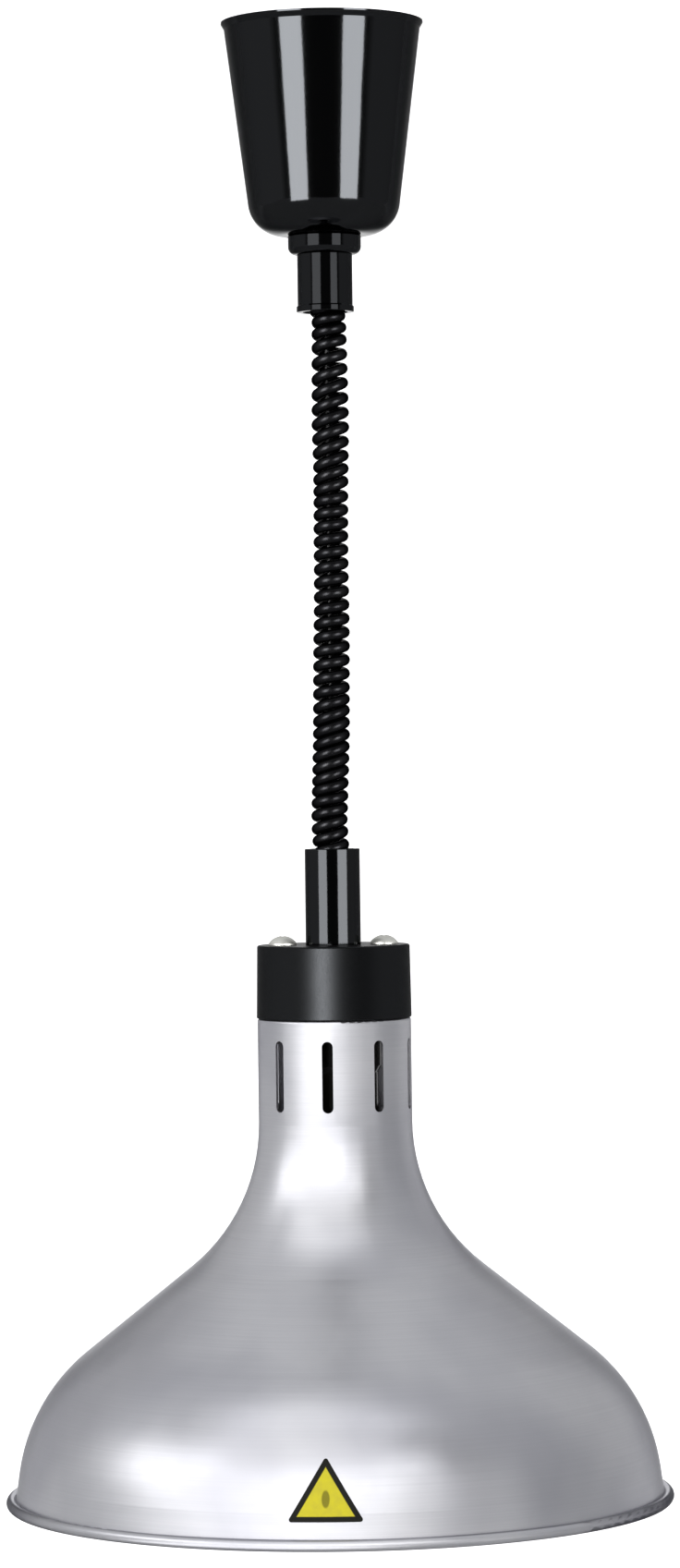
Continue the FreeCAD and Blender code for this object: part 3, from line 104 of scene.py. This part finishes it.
def coil_pitch(height):
    """How far apart the turns hang: near touching in the sleeves, wide below the upper one."""
    return along(height, [(-0.110, 0.0051), (-0.134, 0.0051), (-0.142, 0.0067), (-0.168, 0.0064),
                          (-0.184, 0.0062), (-0.195, 0.0055), (-0.212, 0.0056), (-0.230, 0.0060),
                          (-0.285, 0.0060), (-0.300, 0.0053), (-0.330, 0.0051), (-0.348, 0.0054),
                          (-0.358, 0.0054), (-0.366, 0.0051), (-0.4, 0.0051)])


def coil_radius(height):
    """Radius of the coil to the cord's centre line: a little uneven, as it hangs."""
    return along(height, [(-0.110, 0.0056), (-0.122, 0.0056), (-0.129, 0.0052), (-0.151, 0.0056),
                          (-0.175, 0.0059), (-0.191, 0.0055), (-0.207, 0.0053), (-0.239, 0.0053),
                          (-0.271, 0.0057), (-0.320, 0.0058), (-0.352, 0.0056), (-0.4, 0.0056)])


def coil_centre(height):
    """The coil's slight sideways sway."""
    side = along(height, [(-0.11, 0.0), (-0.122, 0.0002), (-0.130, 0.0015), (-0.191, 0.0016),
                          (-0.223, 0.0012), (-0.256, 0.0011), (-0.287, 0.0006), (-0.311, 0.0003),
                          (-0.336, -0.0006), (-0.347, -0.0010), (-0.359, -0.0004), (-0.37, 0.0)])
    return side, 0.3 * side


def lean_of_turn(height):
    """How far a turn's right side sits above its middle."""
    return along(height, [(-0.12, 0.0), (-0.145, 0.0004), (-0.157, 0.0011), (-0.200, 0.0011),
                          (-0.208, -0.0002), (-0.290, 0.0), (-0.300, 0.0012), (-0.328, 0.0012),
                          (-0.335, 0.0003), (-0.342, 0.0003), (-0.350, 0.0009), (-0.37, 0.0)])


def coil_points(high, low, angle=0.0):
    """Points down a coil, twelve to a turn; returns them and the angle reached."""
    points = []
    height = high
    step = 2 * math.pi / COIL_STEPS
    while height > low:
        side, back = coil_centre(height)
        radius = coil_radius(height) / math.cos(step / 2) ** 0.5
        tilt = lean_of_turn(height) * math.cos(angle)
        points.append((side + radius * math.cos(angle), back + radius * math.sin(angle),
                       height + tilt))
        height -= coil_pitch(height) / COIL_STEPS
        angle -= step
    return points, angle


def route_points(points, smooth=3):
    """The points of a smooth NURBS route through the given control points."""
    curve = bpy.data.curves.new("route", "CURVE")
    curve.dimensions = "3D"
    curve.resolution_u = smooth
    spline = curve.splines.new("NURBS")
    spline.points.add(len(points) - 1)
    for spot, point in zip(spline.points, points):
        spot.co = (*point, 1.0)
    spline.order_u = 3
    spline.use_endpoint_u = True
    holder = bpy.data.objects.new("route", curve)
    bpy.context.collection.objects.link(holder)
    mesh = bpy.data.meshes.new_from_object(holder)
    path = [vertex.co.copy() for vertex in mesh.vertices]
    bpy.data.objects.remove(holder)
    bpy.data.curves.remove(curve)
    bpy.data.meshes.remove(mesh)
    return path


def tube_mesh(name, path, ring, sides=TUBE_SIDES):
    """A closed tube along a path; ring(step, around) gives each section's radius."""
    tangents = []
    for step in range(len(path)):
        before = path[max(step - 1, 0)]
        after = path[min(step + 1, len(path) - 1)]
        tangents.append((after - before).normalized())
    up = tangents[0].orthogonal().normalized()
    mesh = bmesh.new()
    rows = []
    for step, (spot, ahead) in enumerate(zip(path, tangents)):
        up = (up - ahead * up.dot(ahead)).normalized()
        side = ahead.cross(up)
        row = []
        for around in range(sides):
            angle = 2 * math.pi * around / sides
            radius = ring(step, around / sides)
            outward = up * math.cos(angle) + side * math.sin(angle)
            row.append(mesh.verts.new(spot + outward * radius))
        rows.append(row)
    for first, second in zip(rows, rows[1:]):
        for around in range(sides):
            following = (around + 1) % sides
            mesh.faces.new((first[around], first[following], second[following], second[around]))
    mesh.faces.new(list(reversed(rows[0])))
    mesh.faces.new(rows[-1])
    bmesh.ops.recalc_face_normals(mesh, faces=mesh.faces)
    for face in mesh.faces:
        face.smooth = len(face.verts) == 4
    data = bpy.data.meshes.new(name)
    mesh.to_mesh(data)
    mesh.free()
    piece = bpy.data.objects.new(name, data)
    bpy.context.collection.objects.link(piece)
    return piece


def stretch_evenly(piece, path, high, low, sides=TUBE_SIDES):
    """Let each ring of a blended tube follow the drop as a whole, in step with its depth."""
    layer = piece.data.attributes["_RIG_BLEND"]
    for step, spot in enumerate(path):
        share = min(max((high - spot.z) / (high - low), 0.0), 1.0)
        for around in range(sides):
            layer.data[step * sides + around].value = share


def add_curly_cord():
    """The curly cord: its turns in the upper sleeve, and one length from there into the lower one."""
    in_sleeve, angle = coil_points(COIL_TOP, PIVOT)
    hidden = route_points(in_sleeve)
    top = tube_mesh("curly_cord_top", hidden, lambda step, around: CORD_RADIUS)
    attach(top, "ceiling_unit")
    hanging, _ = coil_points(PIVOT, COIL_FOOT, angle=angle)
    path = route_points(hanging)
    coil = tube_mesh("curly_cord_coil", path, lambda step, around: CORD_RADIUS)
    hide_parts("curly_cord")
    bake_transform(coil, "hanging_run", "lamp_head", start=(0, 0, PIVOT), end=(0, 0, COIL_FOOT))
    stretch_evenly(coil, path, PIVOT, COIL_FOOT)
    return top, coil


WIRE_FOOT = -0.3895
WIRE_RADIUS = 0.0006
WIRE_SIDES = 24
WIRE_RUNS = 7
WIRE_RINGS_PER_RUN = 50
STRANDS = 6
STRAND_DEPTH = 0.14
STRAND_LAY = 0.009


def add_suspension_wire():
    """The taut steel rope down the middle of the coil, laid from six strands."""
    fall = WIRE_FOOT - PIVOT
    corners = [(0.0, 0.0, PIVOT + fall * step / WIRE_RUNS) for step in range(WIRE_RUNS + 1)]
    path = route_points(corners, WIRE_RINGS_PER_RUN)

    def strand(step, around):
        turn = STRANDS * (around + (path[step].z - PIVOT) / STRAND_LAY)
        swell = STRAND_DEPTH * abs(math.cos(math.pi * turn))
        return WIRE_RADIUS * (1.0 - STRAND_DEPTH + swell)

    wire = tube_mesh("suspension_wire_strands", path, strand, WIRE_SIDES)
    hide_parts("suspension_wire")
    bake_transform(wire, "hanging_run", "lamp_head", start=(0, 0, PIVOT), end=(0, 0, WIRE_FOOT))
    stretch_evenly(wire, path, PIVOT, WIRE_FOOT, WIRE_SIDES)
    return wire


add_camera()
cord_top, cord_coil = add_curly_cord()
steel_rope = add_suspension_wire()


# -------------------------------------------------------------- materials

class Paint:
    """A principled material with small helpers for its procedural nodes."""

    def __init__(self, name, color, roughness, metallic=0.0):
        self.material = bpy.data.materials.new(name)
        self.material.use_nodes = True
        self.nodes = self.material.node_tree.nodes
        self.links = self.material.node_tree.links
        self.shader = self.nodes["Principled BSDF"]
        self.set("Base Color", (*color, 1.0))
        self.set("Roughness", roughness)
        self.set("Metallic", metallic)
        self.place = self.nodes.new("ShaderNodeTexCoord").outputs["Object"]

    def set(self, socket, value):
        self.shader.inputs[socket].default_value = value

    def join(self, output, socket):
        self.links.new(output, self.shader.inputs[socket])

    def stretched(self, scale, turn=(0, 0, 0), place=None):
        """Position scaled and turned; the object's own unless another is given."""
        node = self.nodes.new("ShaderNodeMapping")
        node.inputs["Scale"].default_value = scale
        node.inputs["Rotation"].default_value = turn
        self.links.new(place or self.place, node.inputs["Vector"])
        return node.outputs["Vector"]

    def noise(self, scale, detail=3.0, roughness=0.5, place=None):
        node = self.nodes.new("ShaderNodeTexNoise")
        node.inputs["Scale"].default_value = scale
        node.inputs["Detail"].default_value = detail
        node.inputs["Roughness"].default_value = roughness
        self.links.new(place or self.place, node.inputs["Vector"])
        return node.outputs["Fac"]

    def math(self, kind, first, second=0.0, third=0.0):
        node = self.nodes.new("ShaderNodeMath")
        node.operation = kind
        for index, value in enumerate((first, second, third)):
            if isinstance(value, (int, float)):
                node.inputs[index].default_value = value
            else:
                self.links.new(value, node.inputs[index])
        return node.outputs[0]

    def spread(self, value, low, high, out_low, out_high):
        """Map low..high to out_low..out_high, and hold the ends."""
        node = self.nodes.new("ShaderNodeMapRange")
        node.inputs["From Min"].default_value = low
        node.inputs["From Max"].default_value = high
        node.inputs["To Min"].default_value = out_low
        node.inputs["To Max"].default_value = out_high
        self.links.new(value, node.inputs["Value"])
        return node.outputs["Result"]

    def ramp(self, value, stops):
        """Colours run between (position, colour) stops."""
        node = self.nodes.new("ShaderNodeValToRGB")
        ramp = node.color_ramp
        while len(ramp.elements) < len(stops):
            ramp.elements.new(0.5)
        for element, (where, color) in zip(ramp.elements, stops):
            element.position = where
            element.color = (*color, 1.0)
        self.links.new(value, node.inputs["Fac"])
        return node.outputs["Color"]

    def mix(self, share, first, second):
        """The first colour at share 0, the second at 1."""
        node = self.nodes.new("ShaderNodeMix")
        node.data_type = "RGBA"
        for socket, value in ((0, share), (6, first), (7, second)):
            if isinstance(value, tuple):
                node.inputs[socket].default_value = (*value, 1.0)
            elif isinstance(value, (int, float)):
                node.inputs[socket].default_value = value
            else:
                self.links.new(value, node.inputs[socket])
        return node.outputs[2]

    def bump(self, value, strength, distance, below=None):
        """A bumped normal, laid over another one if given."""
        node = self.nodes.new("ShaderNodeBump")
        node.inputs["Strength"].default_value = strength
        node.inputs["Distance"].default_value = distance
        self.links.new(value, node.inputs["Height"])
        if below is not None:
            self.links.new(below, node.inputs["Normal"])
        return node.outputs["Normal"]

    def axis_parts(self):
        """The X, Y and Z of the position."""
        node = self.nodes.new("ShaderNodeSeparateXYZ")
        self.links.new(self.place, node.inputs["Vector"])
        return node.outputs

    def axis_distance(self):
        """Distance from the lamp's axis."""
        x, y, _ = self.axis_parts()
        return self.math("SQRT", self.math("ADD", self.math("MULTIPLY", x, x),
                                           self.math("MULTIPLY", y, y)))

    def round_place(self):
        """Position as (distance from the lamp's axis, angle, height)."""
        x, y, z = self.axis_parts()
        radius = self.axis_distance()
        angle = self.math("ARCTAN2", y, x)
        node = self.nodes.new("ShaderNodeCombineXYZ")
        for socket, value in zip(node.inputs, (radius, angle, z)):
            self.links.new(value, socket)
        return node.outputs["Vector"]


def gloss_black(name, roughness=0.08, mirror=0.02, edge=0.48):
    """Sprayed black: faint orange peel and a little dust in the gloss.

    The pigment takes up all but the mirror share of the light; edge is how strong the
    glancing reflection is."""
    paint = Paint(name, (mirror * 0.96, mirror, mirror * 1.06), roughness, 1.0)
    paint.set("Specular Tint", (edge, edge, edge, 1.0))
    peel = paint.noise(900.0, 2.0)
    wave = paint.noise(60.0, 1.0)
    dust = paint.noise(2600.0, 3.0, 0.7)
    paint.join(paint.spread(dust, 0.45, 0.8, roughness, roughness * 1.5), "Roughness")
    lower = paint.bump(wave, 0.08, 0.001)
    paint.join(paint.bump(peel, 0.03, 0.0002, lower), "Normal")
    return paint.material


# Distance from the axis at which the shade's rolled bead starts to face outwards, and the run over which its
# glancing reflection fades to a darker one. This is painted shade: the bead alone gets a low edge tint, so
# its glancing reflection comes out darker than the rest of the shade's.
BEAD_FACE = 0.1426
BEAD_FADE = 0.0008


def spun_aluminium():
    """Satin spun aluminium: fine turning marks round the axis, soft uneven patches, and painted shade on the
    rolled bead's glancing reflection.
    """
    paint = Paint("spun_aluminium", (0.45, 0.45, 0.475), 0.3, 1.0)
    ring = paint.round_place()
    # Painted shade: past the bead's edge the Specular Tint drops, which darkens the bead's glancing
    # reflection.
    painted_bead_shade = paint.spread(paint.axis_distance(), BEAD_FACE, BEAD_FACE + BEAD_FADE, 0.0, 1.0)
    paint.join(paint.mix(painted_bead_shade, (0.78, 0.78, 0.80), (0.08, 0.08, 0.09)), "Specular Tint")
    marks = paint.noise(1.0, 3.0, 0.6, paint.stretched((1500.0, 1.2, 1500.0), place=ring))
    bands = paint.noise(1.0, 2.0, 0.5, paint.stretched((260.0, 0.35, 260.0), place=ring))
    patches = paint.noise(16.0, 2.0, 0.5)
    fine = paint.noise(240.0, 4.0, 0.6)
    tone = paint.mix(paint.spread(patches, 0.35, 0.65, 0.0, 1.0),
                     (0.40, 0.40, 0.43), (0.50, 0.50, 0.52))
    tone = paint.mix(paint.spread(marks, 0.3, 0.7, 0.0, 0.25), tone, (0.34, 0.34, 0.37))
    paint.join(tone, "Base Color")
    rough = paint.math("ADD", paint.spread(patches, 0.3, 0.7, 0.30, 0.35),
                       paint.spread(fine, 0.3, 0.7, -0.01, 0.03))
    paint.join(rough, "Roughness")
    lower = paint.bump(bands, 0.035, 0.0006)
    paint.join(paint.bump(marks, 0.05, 0.00008, lower), "Normal")
    return paint.material


def cord_rubber():
    """Black cord sheath: satin, with a slight drag texture."""
    paint = Paint("cord_rubber", (0.012, 0.012, 0.013), 0.3, 1.0)
    paint.set("Specular Tint", (0.3, 0.3, 0.3, 1.0))
    grain = paint.noise(1500.0, 3.0, 0.6)
    paint.join(paint.spread(grain, 0.3, 0.7, 0.29, 0.37), "Roughness")
    paint.join(paint.bump(grain, 0.12, 0.0001), "Normal")
    paint.join(paint.ramp(paint.noise(90.0, 2.0), [(0.35, (0.010, 0.010, 0.011)),
                                                   (0.7, (0.015, 0.015, 0.016))]), "Base Color")
    return paint.material


def metal(name, color, roughness, brushed=0.0, scratch=(40.0, 40.0, 900.0)):
    """Plain metal with fine scratches and slightly uneven gloss."""
    paint = Paint(name, color, roughness, 1.0)
    grain = paint.noise(1.0, 4.0, 0.6, paint.stretched(scratch))
    stain = paint.noise(120.0, 3.0, 0.6)
    dark = tuple(value * 0.72 for value in color)
    paint.join(paint.mix(paint.spread(stain, 0.35, 0.75, 0.0, 0.8), color, dark), "Base Color")
    paint.join(paint.spread(grain, 0.25, 0.75, roughness * 0.8, roughness * 1.3 + brushed),
               "Roughness")
    paint.join(paint.bump(grain, 0.08 + brushed, 0.0001), "Normal")
    return paint.material


def plastic(name, color, roughness):
    """Moulded plastic with a fine grain."""
    paint = Paint(name, color, roughness)
    grain = paint.noise(1800.0, 3.0, 0.6)
    cloud = paint.noise(70.0, 2.0)
    dark = tuple(value * 0.8 for value in color)
    paint.join(paint.mix(paint.spread(cloud, 0.3, 0.7, 0.0, 1.0), color, dark), "Base Color")
    paint.join(paint.spread(grain, 0.3, 0.7, roughness * 0.85, roughness * 1.2), "Roughness")
    paint.join(paint.bump(grain, 0.06, 0.0001), "Normal")
    return paint.material


LABEL_TURN = math.radians(2.4)
LABEL_FOOT = -0.6313
LABEL_TIP = -0.6052
LABEL_HALF_SIDE = 0.0159
LABEL_BORDER = 0.0021
LABEL_EDGE = 0.0003
MARK_RISE = 0.0092
MARK_HALF_WIDTH = 0.0017
MARK_HALF_HEIGHT = 0.0036


def label_film():
    """A yellow three-sided label with a black border and a plain oval mark."""
    paint = Paint("label_film", (0.8, 0.7, 0.03), 0.35)
    paint.set("Specular IOR Level", 0.06)
    turned = paint.stretched((1.0, 1.0, 1.0), (0.0, 0.0, LABEL_TURN))
    split = paint.nodes.new("ShaderNodeSeparateXYZ")
    paint.links.new(turned, split.inputs["Vector"])
    across = paint.math("ABSOLUTE", split.outputs["X"])
    height = LABEL_TIP - LABEL_FOOT
    slope = math.hypot(height, LABEL_HALF_SIDE)
    drop = paint.math("SUBTRACT", LABEL_TIP, split.outputs["Z"])
    from_side = paint.math("SUBTRACT", paint.math("MULTIPLY", drop, LABEL_HALF_SIDE / slope),
                           paint.math("MULTIPLY", across, height / slope))
    from_foot = paint.math("SUBTRACT", split.outputs["Z"], LABEL_FOOT)
    edge = paint.math("MINIMUM", from_side, from_foot)
    border = paint.spread(edge, LABEL_BORDER, LABEL_BORDER + LABEL_EDGE, 1.0, 0.0)
    mark_z = paint.math("ADD", split.outputs["Z"], -LABEL_FOOT - MARK_RISE)
    mark_across = paint.math("POWER", paint.math("DIVIDE", across, MARK_HALF_WIDTH), 2.0)
    mark_up = paint.math("POWER", paint.math("DIVIDE", mark_z, MARK_HALF_HEIGHT), 2.0)
    mark = paint.math("ADD", mark_across, mark_up)
    ink = paint.math("MULTIPLY", paint.spread(mark, 0.7, 1.2, 1.0, 0.0), 0.8)
    fade = paint.noise(300.0, 3.0)
    yellow = paint.mix(paint.spread(fade, 0.35, 0.7, 0.0, 0.6),
                       (0.42, 0.37, 0.02), (0.34, 0.30, 0.03))
    yellow = paint.mix(ink, yellow, (0.10, 0.09, 0.01))
    paint.join(paint.mix(border, yellow, (0.008, 0.008, 0.006)), "Base Color")
    paint.join(paint.spread(paint.noise(900.0, 2.0), 0.3, 0.7, 0.3, 0.42), "Roughness")
    return paint.material


# The bulb is silvered above this height and clear below it, with a short fade between.
REFLECTOR_FOOT = -0.603
REFLECTOR_FADE = 0.0006


def glass(name, color, roughness, silvered=False):
    """Thin bulb glass with faint ripples; if silvered, a mirror above REFLECTOR_FOOT."""
    paint = Paint(name, color, roughness)
    paint.set("Transmission Weight", 1.0)
    paint.set("IOR", 1.4)
    if silvered:
        coat = paint.spread(paint.axis_parts()["Z"], REFLECTOR_FOOT - REFLECTOR_FADE, REFLECTOR_FOOT,
                            0.0, 1.0)
        paint.join(coat, "Metallic")
        paint.join(paint.math("SUBTRACT", 1.0, coat), "Transmission Weight")
    ripple = paint.noise(70.0, 2.0)
    paint.join(paint.bump(ripple, 0.05, 0.0006), "Normal")
    paint.join(paint.spread(paint.noise(300.0, 3.0), 0.3, 0.7, roughness, roughness + 0.05),
               "Roughness")
    return paint.material


MATERIALS = {
    "black_gloss_paint": gloss_black("black_gloss_paint"),
    "black_satin_paint": gloss_black("black_satin_paint", 0.36, 0.022),
    "spun_aluminium": spun_aluminium(),
    "zinc_steel": metal("zinc_steel", (0.62, 0.62, 0.58), 0.4, 0.05),
    "bright_steel": metal("bright_steel", (0.62, 0.62, 0.63), 0.2),
    "spring_steel": metal("spring_steel", (0.3, 0.33, 0.4), 0.3),
    "wire_steel": metal("wire_steel", (0.045, 0.045, 0.045), 0.5),
    "brass": metal("brass", (0.76, 0.56, 0.24), 0.28),
    "drum_plastic": plastic("drum_plastic", (0.78, 0.77, 0.72), 0.5),
    "guide_plastic": plastic("guide_plastic", (0.03, 0.03, 0.03), 0.45),
    "clamp_plastic": plastic("clamp_plastic", (0.06, 0.06, 0.06), 0.5),
    "terminal_plastic": plastic("terminal_plastic", (0.8, 0.79, 0.74), 0.45),
    "black_rubber": cord_rubber(),
    "brown_insulation": plastic("brown_insulation", (0.18, 0.07, 0.03), 0.4),
    "blue_insulation": plastic("blue_insulation", (0.03, 0.1, 0.42), 0.4),
    "green_yellow_insulation": plastic("green_yellow_insulation", (0.3, 0.5, 0.04), 0.4),
    # Painted shade: the lampholder is coloured near black so that the inside of the neck reads dark through
    # the vent slots.
    "porcelain": plastic("porcelain", (0.02, 0.016, 0.013), 0.15),
    "base_metal": metal("base_metal", (0.72, 0.7, 0.64), 0.3),
    "black_glass": plastic("black_glass", (0.012, 0.012, 0.016), 0.12),
    "solder": metal("solder", (0.55, 0.55, 0.55), 0.4),
    "bulb_glass": glass("bulb_glass", (0.93, 0.93, 0.94), 0.05, silvered=True),
    "stem_glass": glass("stem_glass", (0.86, 0.9, 0.9), 0.05),
    "tungsten": metal("tungsten", (0.3, 0.3, 0.31), 0.4),
    "label_film": label_film(),
}

for row in frame["record"]["subparts"]:
    node = frame["nodes"][row["node"]]
    for slot in node.material_slots:
        slot.material = MATERIALS[row["material_slot"]]
for piece in (cord_top, cord_coil):
    piece.data.materials.append(MATERIALS["black_rubber"])
steel_rope.data.materials.append(MATERIALS["wire_steel"])


# ----------------------------------------------------- floor and lighting

def stage_paint():
    """Matt white that glows. The camera sees it brighten evenly towards the back.

    What it throws on the lamp is a pool straight behind it, with a dim frame further out."""
    paint = Paint("floor_paint", (0.88, 0.88, 0.88), 0.8)
    x, y, z = paint.axis_parts()
    across = paint.math("ABSOLUTE", x)
    level = paint.math("ABSOLUTE", paint.math("ADD", z, 0.3))
    behind = paint.spread(y, 5.7, 6.9, 0.0, 1.0)
    pool = paint.math("MULTIPLY", paint.spread(across, 1.5, 2.7, 1.1, 0.0),
                      paint.spread(level, 3.0, 4.5, 1.0, 0.0))
    rest = paint.math("MAXIMUM", paint.spread(across, 3.9, 6.0, 0.0, 0.45),
                      paint.spread(level, 4.5, 6.0, 0.0, 0.45))
    pool = paint.math("MULTIPLY", paint.math("MAXIMUM", pool, rest), behind)
    paint.set("Emission Color", (1.0, 1.0, 1.0, 1.0))
    seen = paint.spread(y, 2.0, 6.9, 0.1, 1.1)
    to_camera = paint.nodes.new("ShaderNodeLightPath").outputs["Is Camera Ray"]
    paint.join(paint.math("MULTIPLY_ADD", to_camera, paint.math("SUBTRACT", seen, pool), pool),
               "Emission Strength")
    return paint.material


STAGE_FRONT = -18.0
STAGE_BACK = 9.6
STAGE_FLOOR = -4.65
STAGE_TOP = 12.6
STAGE_BEND = 3.6
STAGE_HALF_WIDTH = 21.0
BEND_STEPS = 12


def add_stage():
    """A pale floor that curves up into a backdrop."""
    mesh = bmesh.new()
    profile = [(STAGE_FRONT, STAGE_FLOOR)]
    for step in range(BEND_STEPS + 1):
        angle = math.pi / 2 * step / BEND_STEPS
        profile.append((STAGE_BACK - STAGE_BEND + STAGE_BEND * math.sin(angle),
                        STAGE_FLOOR + STAGE_BEND - STAGE_BEND * math.cos(angle)))
    profile.append((STAGE_BACK, STAGE_TOP))
    rows = []
    for side in (-STAGE_HALF_WIDTH, STAGE_HALF_WIDTH):
        rows.append([mesh.verts.new((side, y, z)) for y, z in profile])
    for step in range(len(profile) - 1):
        mesh.faces.new((rows[0][step], rows[1][step], rows[1][step + 1], rows[0][step + 1]))
    data = bpy.data.meshes.new("floor")
    mesh.to_mesh(data)
    mesh.free()
    for face in data.polygons:
        face.use_smooth = True
    floor_piece = bpy.data.objects.new("floor", data)
    bpy.context.collection.objects.link(floor_piece)
    data.materials.append(stage_paint())


# How far the lights stand from the lamp's axis or, if tilted, from the shade's middle.
LIGHT_REACH = 2.3
SHADE_MIDDLE = -0.58


def softbox(name, left, right, low, high, brightness, only=(), never=()):
    """An upright softbox facing the lamp; brightness is its radiance.

    left and right are the bearings of its sides, in degrees round from the front to the
    right.  only and never name the pieces that a card or a flag lets it light or keeps it
    off."""
    angle = math.radians(left + right) / 2
    width = 2 * LIGHT_REACH * math.tan(math.radians(right - left) / 2)
    place = (LIGHT_REACH * math.sin(angle), -LIGHT_REACH * math.cos(angle), (low + high) / 2)
    hang_panel(name, place, (math.pi / 2, 0.0, angle), width, high - low, brightness, only, never)


def tilted_softbox(name, left, right, low, high, brightness, only=()):
    """A softbox aimed at the shade from above or below; low and high are elevations."""
    angle = math.radians(left + right) / 2
    rise = math.radians(low + high) / 2
    width = 2 * LIGHT_REACH * math.cos(rise) * math.tan(math.radians(right - left) / 2)
    height = 2 * LIGHT_REACH * math.tan(math.radians(high - low) / 2)
    level = LIGHT_REACH * math.cos(rise)
    place = (level * math.sin(angle), -level * math.cos(angle),
             SHADE_MIDDLE + LIGHT_REACH * math.sin(rise))
    hang_panel(name, place, (math.pi / 2 - rise, 0.0, angle), width, height, brightness, only)


def hang_panel(name, place, turn, width, height, brightness, only=(), never=()):
    """A rectangular light whose power is worked out from its radiance and its area."""
    light = bpy.data.lights.new(name, "AREA")
    light.shape = "RECTANGLE"
    light.size = width
    light.size_y = height
    light.energy = brightness * math.pi * width * height
    holder = bpy.data.objects.new(name, light)
    bpy.context.collection.objects.link(holder)
    holder.location = place
    holder.rotation_euler = turn
    if only or never:
        group = bpy.data.collections.new(f"{name}_flags")
        holder.light_linking.receiver_collection = group
        for piece in (*only, *never):
            group.objects.link(piece)
        for entry in group.collection_objects:
            entry.light_linking.link_state = "INCLUDE" if only else "EXCLUDE"


def add_world():
    """Grey room light: dark straight in front, brighter overhead, a little weaker on the right.

    The camera itself sees plain pale grey past the floor's edges."""
    world = bpy.data.worlds.new("world")
    world.use_nodes = True
    nodes = world.node_tree.nodes
    links = world.node_tree.links
    split = nodes.new("ShaderNodeSeparateXYZ")
    links.new(nodes.new("ShaderNodeTexCoord").outputs["Generated"], split.inputs["Vector"])
    level = None
    overhead = ("Z", 0.12, 0.5, 0.74, 0.88)
    in_front = ("Y", -0.56, -0.42, 0.12, 1.0)
    on_right = ("X", 0.2, 0.9, 1.0, 0.8)
    for axis, low, high, at_low, at_high in (overhead, in_front, on_right):
        spread = nodes.new("ShaderNodeMapRange")
        spread.inputs["From Min"].default_value = low
        spread.inputs["From Max"].default_value = high
        spread.inputs["To Min"].default_value = at_low
        spread.inputs["To Max"].default_value = at_high
        links.new(split.outputs[axis], spread.inputs["Value"])
        if level is None:
            level = spread.outputs["Result"]
            continue
        product = nodes.new("ShaderNodeMath")
        product.operation = "MULTIPLY"
        links.new(level, product.inputs[0])
        links.new(spread.outputs["Result"], product.inputs[1])
        level = product.outputs["Value"]
    links.new(level, nodes["Background"].inputs["Strength"])
    beyond = nodes.new("ShaderNodeBackground")
    beyond.inputs["Color"].default_value = (0.62, 0.63, 0.64, 1.0)
    choice = nodes.new("ShaderNodeMixShader")
    links.new(nodes.new("ShaderNodeLightPath").outputs["Is Camera Ray"], choice.inputs["Fac"])
    links.new(nodes["Background"].outputs["Background"], choice.inputs[1])
    links.new(beyond.outputs["Background"], choice.inputs[2])
    links.new(choice.outputs["Shader"], nodes["World Output"].inputs["Surface"])
    nodes["Background"].inputs["Color"].default_value = (0.97, 0.98, 1.0, 1.0)
    bpy.context.scene.world = world


def add_lights():
    """Two strips for the canopy and the cord, and panels that each light one part of the lamp."""
    nodes = frame["nodes"]
    shade = [nodes["shade"], nodes["shade_label"]]
    cap = [nodes["cap"]]
    top_tubes = [nodes["collar_nut"], nodes["upper_sleeve"]]
    low_tube = [nodes["lower_sleeve"]]
    stage = [bpy.data.objects["floor"]]
    apart = shade + cap + top_tubes + low_tube + stage
    softbox("strip_left", -50.5, -23.5, -0.75, 0.9, 21.0, never=apart)
    softbox("strip_right", 25.0, 51.0, -0.65, 0.5, 20.0, never=apart)
    softbox("low_tube_left", -60.0, -24.0, -0.75, 0.5, 12.0, only=low_tube)
    softbox("low_tube_right", 22.0, 62.0, -0.75, 0.5, 13.0, only=low_tube)
    softbox("top_tube_left", -54.0, -18.0, -0.65, 0.5, 3.0, only=top_tubes)
    softbox("top_tube_right", 24.0, 52.0, -0.65, 0.5, 3.0, only=top_tubes)
    softbox("cap_key", -26.0, -8.0, -0.9, 0.2, 25.0, only=cap)
    softbox("bell_left", -88.0, -36.0, 0.0, 0.9, 2.2, only=shade)
    softbox("bell_low_left", -72.0, -36.0, -0.4, 0.0, 2.2, only=shade)
    softbox("bell_front", -36.0, 18.0, -0.4, 0.9, 2.8, only=shade)
    softbox("bell_right", 18.0, 40.0, -0.4, 1.1, 1.5, only=shade)
    softbox("bell_far_right", 40.0, 62.0, -0.4, 0.5, 0.55, only=shade)
    softbox("neck_left", -56.0, -14.0, -1.4, -0.4, 2.0, only=shade)
    softbox("neck_front", -14.0, 6.0, -1.4, -0.4, 1.5, only=shade)
    softbox("neck_right", 6.0, 64.0, -1.4, -0.4, 0.7, only=shade)
    tilted_softbox("over_front", -58.0, 34.0, 33.0, 50.0, 1.5, only=shade)
    tilted_softbox("over_top", -62.0, 34.0, 50.0, 74.0, 1.05, only=shade)
    tilted_softbox("under_rim", -78.0, 14.0, -52.0, -20.0, 1.9, only=shade)
    add_world()


add_stage()
add_lights()
